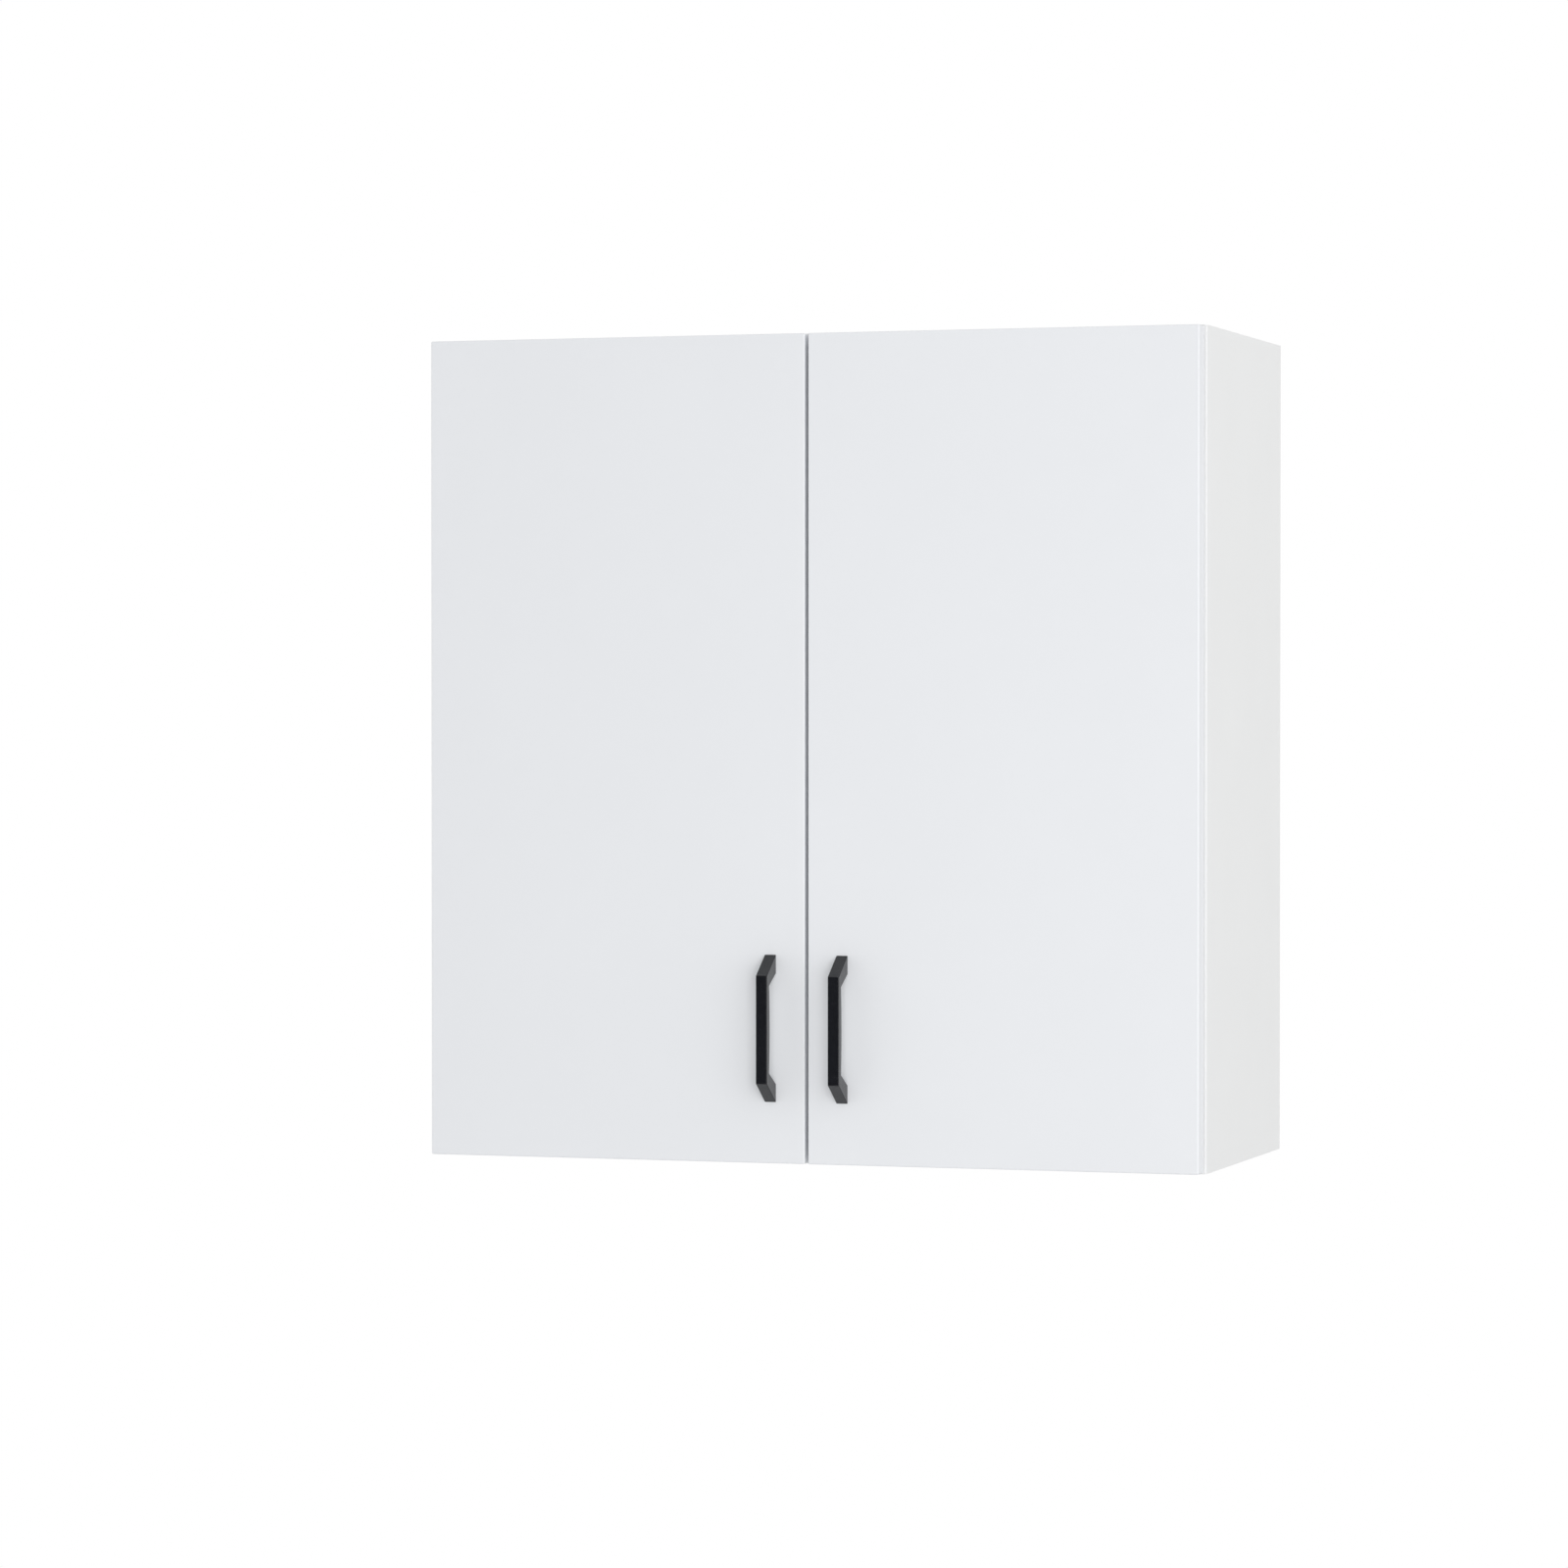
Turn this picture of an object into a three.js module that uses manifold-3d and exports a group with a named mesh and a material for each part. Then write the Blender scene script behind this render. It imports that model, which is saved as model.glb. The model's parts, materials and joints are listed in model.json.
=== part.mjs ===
// Two-door hanging wall cabinet: a 16 mm board carcass with a grooved-in back, two adjustable
// shelves, two overlay doors on concealed cup hinges, two bow handles and hidden hanging hooks.
// Millimetres. X runs to the right seen from the front, Y into the wall, Z up. The origin lies in
// the wall plane, at mid-width, at mid-thickness of the top panel.
import * as THREE from "three";
import { mergeVertices } from "three/addons/utils/BufferGeometryUtils.js";
import Module from "manifold-3d";

const wasm = await Module();
wasm.setup();

// ---------------------------------------------------------------- driving dimensions

const WIDTH = 700;
const HEIGHT = 720;
const CARCASS_DEPTH = 280;
const BOARD = 16;
const FIT_GAP = 0.3;

const DOOR_THICKNESS = 18;
const DOOR_GAP_BEHIND = 2;
const DOOR_SIDE_REVEAL = 2;
const DOOR_END_REVEAL = 1;
const DOOR_MIDDLE_GAP = 3;
const DOOR_EDGE_RADIUS = 3;

const BACK_THICKNESS = 3;
const BACK_RECESS = 18;
const GROOVE_DEPTH = 8;

const SHELF_COUNT = 2;
const SHELF_SETBACK = 20;
const SHELF_SIDE_GAP = 1.5;
const SHELF_PIN_INSET = 40;
const PIN_RADIUS = 2.5;
const HOLE_PITCH = 32;

const HANDLE_LENGTH = 128;
const HANDLE_WIDTH = 10.2;
const HANDLE_PROJECTION = 25;
const HANDLE_FRONT_LENGTH = 93.4;
const HANDLE_FOOT = 16;
const HANDLE_BAR_END = 6.2;
const HANDLE_BAR_MIDDLE = 7.6;
const HANDLE_INNER_LENGTH = 75.4;
const HANDLE_FROM_CENTRE = 32.5;
const HANDLE_ABOVE_DOOR_END = 53;
const HANDLE_SCREW_SPACING = 112;

const HINGE_FROM_DOOR_END = 100;
const CUP_RADIUS = 17.5;
const CUP_DEPTH = 11.8;
const CUP_FROM_DOOR_EDGE = 20.5;
const CUP_WALL = 1;
const HINGE_SCREW_LINE = 37;

const CAM_RADIUS = 7.2;
const CAM_DEPTH = 12;
const CAM_FROM_END = 34;
const CAM_FROM_EDGE = 55;

const TOP = BOARD / 2;
const BOTTOM = TOP - HEIGHT;
const FLOOR = BOTTOM + BOARD;
const CEILING = TOP - BOARD;
const FRONT = -CARCASS_DEPTH;
const INNER_HALF = WIDTH / 2 - BOARD;
const DOOR_REAR = FRONT - DOOR_GAP_BEHIND;
const DOOR_FRONT = DOOR_REAR - DOOR_THICKNESS;
const DOOR_WIDTH = (WIDTH - DOOR_MIDDLE_GAP) / 2 - DOOR_SIDE_REVEAL;
const DOOR_TOP = TOP - DOOR_END_REVEAL;
const DOOR_BOTTOM = BOTTOM + DOOR_END_REVEAL;
const HANDLE_Z = DOOR_BOTTOM + HANDLE_ABOVE_DOOR_END + HANDLE_LENGTH / 2;
const HINGE_HEIGHTS = {
  upper: DOOR_TOP - HINGE_FROM_DOOR_END,
  lower: DOOR_BOTTOM + HINGE_FROM_DOOR_END,
};
const SIDES = { left: -1, right: 1 };

// Hinge pivots in plan, closed: how far in from the cabinet's outer side face, and how far
// ahead of the carcass front. The arm carries two pins and the cup carries two.
const ARM_OUTER_PIVOT = { inward: 25.2, ahead: 0.9 };
const ARM_INNER_PIVOT = { inward: 31.5, ahead: 6.5 };
const CUP_OUTER_PIVOT = { inward: 10.5, ahead: 7.6 };
const CUP_INNER_PIVOT = { inward: 15.5, ahead: 4.1 };
const OUTER_LINK_BOW = 7.6;
const HINGE_PIN_RADIUS = 1.25;
const LINK_THICKNESS = 2;
const LINK_EYE_RADIUS = 2.6;
const LINK_REACH = 4.1;
const LINK_BOW_STEPS = 6;
const FLANGE_INNER = 4.4;
const FLANGE_OUTER = 5.8;
const CUP_CHEEK_INNER = 6.2;
const CUP_CHEEK_OUTER = 7.4;

// ---------------------------------------------------------------- materials

function material(color, roughness, metalness) {
  return () => new THREE.MeshStandardMaterial({ color, roughness, metalness });
}

const whiteBoard = material(0xe9eaea, 0.5, 0);
const doorFoil = material(0xeaecee, 0.35, 0);
const whiteBack = material(0xe4e4e2, 0.6, 0);
const blackHandle = material(0x1d2026, 0.45, 0.2);
const nickel = material(0xb9bab8, 0.3, 0.9);
const zinc = material(0x9c9d9e, 0.45, 0.8);
const clearBumper = material(0xd8dcdc, 0.3, 0);

// ---------------------------------------------------------------- solids

function solid(geometry) {
  const bare = geometry.clone();
  bare.deleteAttribute("normal");
  bare.deleteAttribute("uv");
  const merged = mergeVertices(bare, 1e-4);
  const vertProperties = Float32Array.from(merged.attributes.position.array);
  const triVerts = Uint32Array.from(merged.index.array);
  return new wasm.Manifold(new wasm.Mesh({ numProp: 3, vertProperties, triVerts }));
}

function surface(manifold) {
  const mesh = manifold.getMesh();
  const geometry = new THREE.BufferGeometry();
  geometry.setAttribute("position", new THREE.BufferAttribute(mesh.vertProperties, 3));
  geometry.setIndex(new THREE.BufferAttribute(mesh.triVerts, 1));
  return geometry;
}

function join(pieces) {
  return pieces.reduce((sum, piece) => sum.add(piece));
}

function cut(body, tools) {
  return tools.reduce((rest, tool) => rest.subtract(tool), body);
}

// A block between two x, two y and two z values, given in any order.
function block(xs, ys, zs) {
  const size = [xs, ys, zs].map(([a, b]) => Math.abs(b - a));
  const middle = [xs, ys, zs].map(([a, b]) => (a + b) / 2);
  return solid(new THREE.BoxGeometry(...size).translate(...middle));
}

// A round bar along x, y or z between two values on that axis, centred on the other two.
function bar(axis, [from, to], centre, radius, sides = 16) {
  const geometry = new THREE.CylinderGeometry(radius, radius, Math.abs(to - from), sides);
  if (axis === "x") geometry.rotateZ(Math.PI / 2);
  if (axis === "z") geometry.rotateX(Math.PI / 2);
  const at = { ...centre, [axis]: (from + to) / 2 };
  return solid(geometry.translate(at.x ?? 0, at.y ?? 0, at.z ?? 0));
}

// An outline in plan, extruded upwards between two heights.
function planSlab(outline, [from, to]) {
  const geometry = new THREE.ExtrudeGeometry(new THREE.Shape(outline), {
    depth: to - from,
    bevelEnabled: false,
  });
  return solid(geometry.translate(0, 0, from));
}

// A point given by its distance in from a cabinet side and ahead of the carcass front.
function planPoint(side, { inward, ahead }) {
  return new THREE.Vector2(side * (WIDTH / 2 - inward), FRONT - ahead);
}

// ---------------------------------------------------------------- the assembly

const cabinet = new THREE.Group();
cabinet.name = "hanging_wall_cabinet";

function addPiece(name, body, makeMaterial, parent = cabinet) {
  const mesh = new THREE.Mesh(surface(body), makeMaterial());
  mesh.name = name;
  parent.add(mesh);
  return mesh;
}

// ---------------------------------------------------------------- carcass

const BACK_FRONT = -BACK_RECESS - BACK_THICKNESS;
const GROOVE_Y = [BACK_FRONT - FIT_GAP, -BACK_RECESS + FIT_GAP];
const PIN_ROWS = {
  front: FRONT + SHELF_SETBACK + SHELF_PIN_INSET,
  rear: BACK_FRONT - SHELF_PIN_INSET,
};
const BAY_HEIGHT = (CEILING - FLOOR - SHELF_COUNT * BOARD) / (SHELF_COUNT + 1);
const SHELF_NAMES = ["lower", "upper"];
const PIN_HOLE_DEPTH = 9;

function shelfBottom(index) {
  return FLOOR + BAY_HEIGHT + index * (BAY_HEIGHT + BOARD);
}

function pinHeight(index) {
  return shelfBottom(index) - FIT_GAP - PIN_RADIUS;
}

function sidePanel(side) {
  const inner = side * INNER_HALF;
  const board = block([side * WIDTH / 2, inner], [FRONT, 0], [BOTTOM, TOP]);
  const groove = block([inner - side, inner + side * GROOVE_DEPTH], GROOVE_Y, [
    FLOOR - GROOVE_DEPTH, CEILING + GROOVE_DEPTH,
  ]);
  const holeHeights = SHELF_NAMES.flatMap((_, index) =>
    [-HOLE_PITCH, 0, HOLE_PITCH].map((step) => pinHeight(index) + step));
  const holes = holeHeights.flatMap((z) => Object.values(PIN_ROWS).map((y) => bar(
    "x", [inner - side, inner + side * PIN_HOLE_DEPTH], { y, z }, PIN_RADIUS + FIT_GAP, 10,
  )));
  return cut(board, [groove, ...holes]);
}

for (const [name, side] of Object.entries(SIDES)) {
  addPiece(`${name}_side_panel`, sidePanel(side), whiteBoard);
}

const CAM_SLOT = { reach: 5, half: 1, depth: 2.5 };
const CAM_ROWS = { front: FRONT + CAM_FROM_EDGE, rear: -CAM_FROM_EDGE };
const PANEL_ENDS = {
  top: { outer: TOP, inward: -1 },
  bottom: { outer: BOTTOM, inward: 1 },
};

function camCentre(side, y) {
  return { x: side * (INNER_HALF - CAM_FROM_END), y };
}

function endPanel({ outer, inward }) {
  const inner = outer + inward * BOARD;
  const half = INNER_HALF - FIT_GAP;
  const board = block([-half, half], [FRONT, 0], [outer, inner]);
  const groove = block([-half - 1, half + 1], GROOVE_Y, [
    inner + inward, inner - inward * GROOVE_DEPTH,
  ]);
  const bores = Object.values(SIDES).flatMap((side) =>
    Object.values(CAM_ROWS).map((y) => bar(
      "z", [outer - inward, outer + inward * (CAM_DEPTH + FIT_GAP)], camCentre(side, y),
      CAM_RADIUS + FIT_GAP, 16,
    )));
  return cut(board, [groove, ...bores]);
}

// A zinc cam set in its bore, with a cross slot in its outer face.
function camLock(side, y, { outer, inward }) {
  const centre = camCentre(side, y);
  const disc = bar("z", [outer, outer + inward * CAM_DEPTH], centre, CAM_RADIUS, 16);
  const slotDepth = [outer - inward, outer + inward * CAM_SLOT.depth];
  const arms = [[CAM_SLOT.reach, CAM_SLOT.half], [CAM_SLOT.half, CAM_SLOT.reach]];
  const slots = arms.map(([halfX, halfY]) => block(
    [centre.x - halfX, centre.x + halfX], [y - halfY, y + halfY], slotDepth,
  ));
  return cut(disc, slots);
}

for (const [end, panel] of Object.entries(PANEL_ENDS)) {
  addPiece(`${end}_panel`, endPanel(panel), whiteBoard);
  for (const [sideName, side] of Object.entries(SIDES)) {
    for (const [rowName, y] of Object.entries(CAM_ROWS)) {
      addPiece(`cam_lock_${end}_${sideName}_${rowName}`, camLock(side, y, panel), zinc);
    }
  }
}

const BACK_IN_GROOVE = GROOVE_DEPTH - 1;
const HANGER_WIDTH = 44;
const HANGER_HEIGHT = 62;
const HANGER_DROP = 4;
const HANGER_TOP = CEILING - HANGER_DROP;
const HANGER_FRONT = -BACK_RECESS + FIT_GAP;
const HANGER_REAR = -9;
const HANGER_ACCESS_RADIUS = 5;

function hangerCentre(side) {
  return side * (INNER_HALF - FIT_GAP - HANGER_WIDTH / 2);
}

function backPanel() {
  const half = INNER_HALF + BACK_IN_GROOVE;
  const zs = [FLOOR - BACK_IN_GROOVE, CEILING + BACK_IN_GROOVE];
  const sheet = block([-half, half], [BACK_FRONT, -BACK_RECESS], zs);
  const accessHoles = Object.values(SIDES).map((side) => bar(
    "y", [BACK_FRONT - 1, -BACK_RECESS + 1],
    { x: hangerCentre(side), z: HANGER_TOP - HANGER_HEIGHT / 2 }, HANGER_ACCESS_RADIUS, 16,
  ));
  return cut(sheet, accessHoles);
}

addPiece("back_panel", backPanel(), whiteBack);

// ---------------------------------------------------------------- hanging hooks

const HOOK_THICKNESS = 2.5;
const HOOK_WIDTH = 26;
const HOOK_LIP = 18;
const HOOK_REAR = -1;
const HOOK_PLAY = 0.6;
const HOOK_FOOT_RISE = 8;
const POCKET_WALL = 2;
const POCKET_FLOOR = 6;

// The pressed housing screwed to the side panel behind the back, open to the rear for the hook.
function hangerBracket(side) {
  const x = hangerCentre(side);
  const zs = [HANGER_TOP - HANGER_HEIGHT, HANGER_TOP];
  const housing = block([x - HANGER_WIDTH / 2, x + HANGER_WIDTH / 2], [HANGER_FRONT, HANGER_REAR], zs);
  const pocketHalf = HOOK_WIDTH / 2 + HOOK_PLAY;
  const pocket = block(
    [x - pocketHalf, x + pocketHalf], [HANGER_FRONT + POCKET_WALL, HANGER_REAR + 1],
    [zs[0] + POCKET_FLOOR, zs[1] + 1],
  );
  return cut(housing, [pocket]);
}

// The steel hook: up the pocket, over to the rear and down in a lip that catches the wall rail.
function hangerHook(side) {
  const front = HANGER_FRONT + POCKET_WALL + FIT_GAP;
  const crest = HANGER_TOP;
  const foot = HANGER_TOP - HANGER_HEIGHT + HOOK_FOOT_RISE;
  const profile = [
    [front, foot],
    [front, crest],
    [HOOK_REAR, crest],
    [HOOK_REAR, crest - HOOK_LIP],
    [HOOK_REAR - HOOK_THICKNESS, crest - HOOK_LIP],
    [HOOK_REAR - HOOK_THICKNESS, crest - HOOK_THICKNESS],
    [front + HOOK_THICKNESS, crest - HOOK_THICKNESS],
    [front + HOOK_THICKNESS, foot],
  ].map(([y, z]) => new THREE.Vector2(y, z));
  const geometry = new THREE.ExtrudeGeometry(new THREE.Shape(profile), {
    depth: HOOK_WIDTH,
    bevelEnabled: false,
  });
  geometry.applyMatrix4(new THREE.Matrix4().makeBasis(
    new THREE.Vector3(0, 1, 0), new THREE.Vector3(0, 0, 1), new THREE.Vector3(1, 0, 0),
  ));
  return solid(geometry.translate(hangerCentre(side) - HOOK_WIDTH / 2, 0, 0));
}

for (const [name, side] of Object.entries(SIDES)) {
  addPiece(`${name}_hanger_bracket`, hangerBracket(side), zinc);
  addPiece(`${name}_hanger_hook`, hangerHook(side), nickel);
}

// ---------------------------------------------------------------- shelves and their pins

const SHELF_REAR_GAP = 1;
const PIN_COLLAR_RADIUS = 4;
const PIN_COLLAR = 0.9;
const PIN_REACH = 8;

function shelf(index) {
  const half = INNER_HALF - SHELF_SIDE_GAP;
  const bottom = shelfBottom(index);
  return block([-half, half], [FRONT + SHELF_SETBACK, BACK_FRONT - SHELF_REAR_GAP], [
    bottom, bottom + BOARD,
  ]);
}

// Turned pin: a shank for the side panel's hole, a collar against its face, a peg under the shelf.
function shelfPin(side, y, z) {
  const collarFrom = FIT_GAP;
  const collarTo = collarFrom + PIN_COLLAR;
  const profile = [
    [0, -PIN_REACH],
    [PIN_RADIUS, -PIN_REACH],
    [PIN_RADIUS, collarFrom],
    [PIN_COLLAR_RADIUS, collarFrom],
    [PIN_COLLAR_RADIUS, collarTo],
    [PIN_RADIUS, collarTo],
    [PIN_RADIUS, collarTo + PIN_REACH],
    [0, collarTo + PIN_REACH],
  ].map(([radius, along]) => new THREE.Vector2(radius, along));
  const geometry = new THREE.LatheGeometry(profile, 10);
  geometry.rotateZ(side * Math.PI / 2);
  return solid(geometry.translate(side * INNER_HALF, y, z));
}

SHELF_NAMES.forEach((name, index) => {
  addPiece(`${name}_shelf`, shelf(index), whiteBoard);
  for (const [sideName, side] of Object.entries(SIDES)) {
    for (const [rowName, y] of Object.entries(PIN_ROWS)) {
      addPiece(
        `shelf_pin_${name}_${sideName}_${rowName}`, shelfPin(side, y, pinHeight(index)), nickel,
      );
    }
  }
});

// ---------------------------------------------------------------- doors

function doorEdges(side) {
  const outer = side * (WIDTH / 2 - DOOR_SIDE_REVEAL);
  return { outer, free: outer - side * DOOR_WIDTH };
}

function cupCentreX(side) {
  return doorEdges(side).outer - side * CUP_FROM_DOOR_EDGE;
}

function handleX(side) {
  return side * HANDLE_FROM_CENTRE;
}

function handleScrewHeights() {
  return {
    upper: HANDLE_Z + HANDLE_SCREW_SPACING / 2,
    lower: HANDLE_Z - HANDLE_SCREW_SPACING / 2,
  };
}

const SCREW_SHANK_RADIUS = 2;
const SCREW_HOLE_PLAY = 0.5;

// Slab with its front edges rounded all round, bored for the hinge cups and handle screws.
function door(side) {
  const radius = DOOR_EDGE_RADIUS;
  const { outer, free } = doorEdges(side);
  const low = Math.min(outer, free) + radius;
  const high = Math.max(outer, free) - radius;
  const outline = new THREE.Shape([
    new THREE.Vector2(low, DOOR_BOTTOM + radius),
    new THREE.Vector2(high, DOOR_BOTTOM + radius),
    new THREE.Vector2(high, DOOR_TOP - radius),
    new THREE.Vector2(low, DOOR_TOP - radius),
  ]);
  const rounded = new THREE.ExtrudeGeometry(outline, {
    depth: DOOR_THICKNESS,
    bevelThickness: radius,
    bevelSize: radius,
    bevelSegments: 3,
  });
  rounded.rotateX(Math.PI / 2);
  const slab = solid(rounded.translate(0, DOOR_FRONT + radius + DOOR_THICKNESS, 0));
  const rearCut = block([-WIDTH, WIDTH], [DOOR_REAR, 0], [BOTTOM - BOARD, TOP + BOARD]);
  const cupBores = Object.values(HINGE_HEIGHTS).map((z) => bar(
    "y", [DOOR_REAR + 1, DOOR_REAR - CUP_DEPTH - FIT_GAP], { x: cupCentreX(side), z },
    CUP_RADIUS + FIT_GAP, 24,
  ));
  const screwHoles = Object.values(handleScrewHeights()).map((z) => bar(
    "y", [DOOR_REAR + 1, DOOR_FRONT - 1], { x: handleX(side), z }, SCREW_SHANK_RADIUS + SCREW_HOLE_PLAY, 12,
  ));
  return cut(slab, [rearCut, ...cupBores, ...screwHoles]);
}

for (const [name, side] of Object.entries(SIDES)) {
  addPiece(`${name}_door`, door(side), doorFoil);
}

// ---------------------------------------------------------------- handles and their screws

const SCREW_IN_FOOT = 6.5;
const SCREW_HEAD_RADIUS = 4.2;
const SCREW_HEAD_HEIGHT = 2.2;
const SCREW_SLOT = { reach: 3, half: 0.5, depth: 1 };

// Bow handle: two sloping feet and a straight front bar whose back swells towards the middle.
function handle(side) {
  const half = HANDLE_LENGTH / 2;
  const frontHalf = HANDLE_FRONT_LENGTH / 2;
  const innerHalf = HANDLE_INNER_LENGTH / 2;
  const barBack = HANDLE_PROJECTION - HANDLE_BAR_END;
  const swell = 2 * (HANDLE_BAR_MIDDLE - HANDLE_BAR_END);
  const profile = new THREE.Shape();
  profile.moveTo(-half, 0);
  profile.lineTo(-half + HANDLE_FOOT, 0);
  profile.lineTo(-innerHalf, barBack);
  profile.quadraticCurveTo(0, barBack - swell, innerHalf, barBack);
  profile.lineTo(half - HANDLE_FOOT, 0);
  profile.lineTo(half, 0);
  profile.lineTo(frontHalf, HANDLE_PROJECTION);
  profile.lineTo(-frontHalf, HANDLE_PROJECTION);
  profile.closePath();
  const geometry = new THREE.ExtrudeGeometry(profile, {
    depth: HANDLE_WIDTH,
    curveSegments: 8,
    bevelEnabled: false,
  });
  geometry.applyMatrix4(new THREE.Matrix4().makeBasis(
    new THREE.Vector3(0, 0, 1), new THREE.Vector3(0, -1, 0), new THREE.Vector3(1, 0, 0),
  ));
  const faceY = DOOR_FRONT - FIT_GAP;
  const grip = solid(geometry.translate(handleX(side) - HANDLE_WIDTH / 2, faceY, HANDLE_Z));
  const screwHoles = Object.values(handleScrewHeights()).map((z) => bar(
    "y", [faceY + 1, faceY - SCREW_IN_FOOT - SCREW_HOLE_PLAY], { x: handleX(side), z },
    SCREW_SHANK_RADIUS + FIT_GAP, 12,
  ));
  return cut(grip, screwHoles);
}

// Pan-head screw from the inside of the door into a handle foot.
function handleScrew(side, z) {
  const x = handleX(side);
  const headBase = DOOR_REAR + FIT_GAP;
  const tip = DOOR_FRONT - FIT_GAP - SCREW_IN_FOOT;
  const headTop = headBase + SCREW_HEAD_HEIGHT;
  const shank = bar("y", [headBase + SCREW_HEAD_HEIGHT / 2, tip], { x, z }, SCREW_SHANK_RADIUS, 12);
  const head = bar("y", [headBase, headTop], { x, z }, SCREW_HEAD_RADIUS, 16);
  const { reach, half, depth } = SCREW_SLOT;
  const slot = block([x - reach, x + reach], [headTop - depth, headTop + 1], [z - half, z + half]);
  return cut(join([shank, head]), [slot]);
}

for (const [name, side] of Object.entries(SIDES)) {
  addPiece(`${name}_handle`, handle(side), blackHandle);
  for (const [level, z] of Object.entries(handleScrewHeights())) {
    addPiece(`${name}_handle_screw_${level}`, handleScrew(side, z), nickel);
  }
}

// ---------------------------------------------------------------- door bumpers

const BUMPER_RADIUS = 4;
const BUMPER_FROM_FREE_EDGE = 25;

// Clear stick-on pad on the door's inner face, where it closes on the top or bottom panel's edge.
function doorBumper(side, z) {
  const x = doorEdges(side).free + side * BUMPER_FROM_FREE_EDGE;
  return bar("y", [DOOR_REAR + FIT_GAP, FRONT - FIT_GAP], { x, z }, BUMPER_RADIUS, 12);
}

for (const [name, side] of Object.entries(SIDES)) {
  addPiece(`${name}_door_bumper_upper`, doorBumper(side, TOP - BOARD / 2), clearBumper);
  addPiece(`${name}_door_bumper_lower`, doorBumper(side, BOTTOM + BOARD / 2), clearBumper);
}

// ---------------------------------------------------------------- concealed cup hinges

const CUP_PLATE_REAR = 0.8;
const CUP_PLATE_FRONT = 1.7;
const CUP_PLATE_RADIUS = 18.5;
const WING_HALF_HEIGHT = 29;
const WING_INNER = 4;
const WING_OUTER = 15;
const WING_HOLE_PLAY = 0.5;
const CHEEK_REAR = 3;
const PIN_IN_CHEEK = 0.5;

function aheadY(ahead) {
  return FRONT - ahead;
}

// Nickel cup let into the door, with a screw-on wing plate and two cheeks that hold its pins.
function hingeCup(side, z) {
  const x = cupCentreX(side);
  const floor = DOOR_GAP_BEHIND + CUP_DEPTH;
  const inner = CUP_RADIUS - CUP_WALL;
  const profile = [
    [0, aheadY(floor)],
    [CUP_RADIUS, aheadY(floor)],
    [CUP_RADIUS, aheadY(CUP_PLATE_FRONT)],
    [CUP_PLATE_RADIUS, aheadY(CUP_PLATE_FRONT)],
    [CUP_PLATE_RADIUS, aheadY(CUP_PLATE_REAR)],
    [inner, aheadY(CUP_PLATE_REAR)],
    [inner, aheadY(floor - CUP_WALL)],
    [0, aheadY(floor - CUP_WALL)],
  ].map(([radius, y]) => new THREE.Vector2(radius, y));
  const bowl = solid(new THREE.LatheGeometry(profile, 24).translate(x, 0, z));
  const wings = cut(
    block(
      [x - side * WING_INNER, x - side * WING_OUTER],
      [aheadY(CUP_PLATE_REAR), aheadY(CUP_PLATE_FRONT)],
      [z - WING_HALF_HEIGHT, z + WING_HALF_HEIGHT],
    ),
    [bar("y", [aheadY(0), aheadY(CHEEK_REAR)], { x, z }, inner + WING_HOLE_PLAY, 24)],
  );
  const inCup = bar(
    "y", [aheadY(CHEEK_REAR), aheadY(floor - CUP_WALL / 2)], { x, z }, CUP_RADIUS - CUP_WALL / 2, 24,
  );
  const cheeks = [1, -1].map((up) => block(
    [x - CUP_RADIUS, x + CUP_RADIUS], [aheadY(CHEEK_REAR), aheadY(floor)],
    [z + up * CUP_CHEEK_INNER, z + up * CUP_CHEEK_OUTER],
  ).intersect(inCup));
  const outerPin = bar(
    "z", [z, z + CUP_CHEEK_INNER + PIN_IN_CHEEK], planPoint(side, CUP_OUTER_PIVOT),
    HINGE_PIN_RADIUS, 10,
  );
  const innerPin = bar(
    "z", [z - CUP_CHEEK_INNER - PIN_IN_CHEEK, z - LINK_REACH - FIT_GAP],
    planPoint(side, CUP_INNER_PIVOT), HINGE_PIN_RADIUS, 10,
  );
  return join([bowl, wings, ...cheeks, outerPin, innerPin]);
}

// A strip bowed between two pivots with a round eye at each, bored where asked.
function hingeLink(from, to, bow, heights, boredEyes) {
  const along = to.clone().sub(from).normalize();
  const across = new THREE.Vector2(-along.y, along.x);
  const middle = from.clone().add(to).multiplyScalar(0.5).addScaledVector(across, 2 * bow);
  const curve = new THREE.QuadraticBezierCurve(from, middle, to);
  const steps = bow === 0 ? 1 : LINK_BOW_STEPS;
  const edge = (offset) => Array.from({ length: steps + 1 }, (_, step) => {
    const tangent = curve.getTangent(step / steps);
    const normal = new THREE.Vector2(-tangent.y, tangent.x);
    return curve.getPoint(step / steps).addScaledVector(normal, offset);
  });
  const half = LINK_THICKNESS / 2;
  const strip = planSlab([...edge(half), ...edge(-half).reverse()], heights);
  const eyes = [from, to].map((pivot) => bar("z", heights, pivot, LINK_EYE_RADIUS, 12));
  const bores = boredEyes.map((pivot) => bar(
    "z", [heights[0] - 1, heights[1] + 1], pivot, HINGE_PIN_RADIUS + FIT_GAP, 10,
  ));
  return cut(join([strip, ...eyes]), bores);
}

const ARM_REAR = -62;
const ARM_NEAR_SIDE = 19.4;
const ARM_WEB = [30.2, 31.6];
const ARM_WEB_FRONT = -8;
const ARM_NECK = -14;
const ARM_EYE_RADIUS = 2.8;
const ARM_NOSE = 0.7 * ARM_EYE_RADIUS;
const ADJUSTERS = [-24, -50];
const ADJUSTER = { radius: 3.6, proud: 1.5, sunk: 0.5 };

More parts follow.
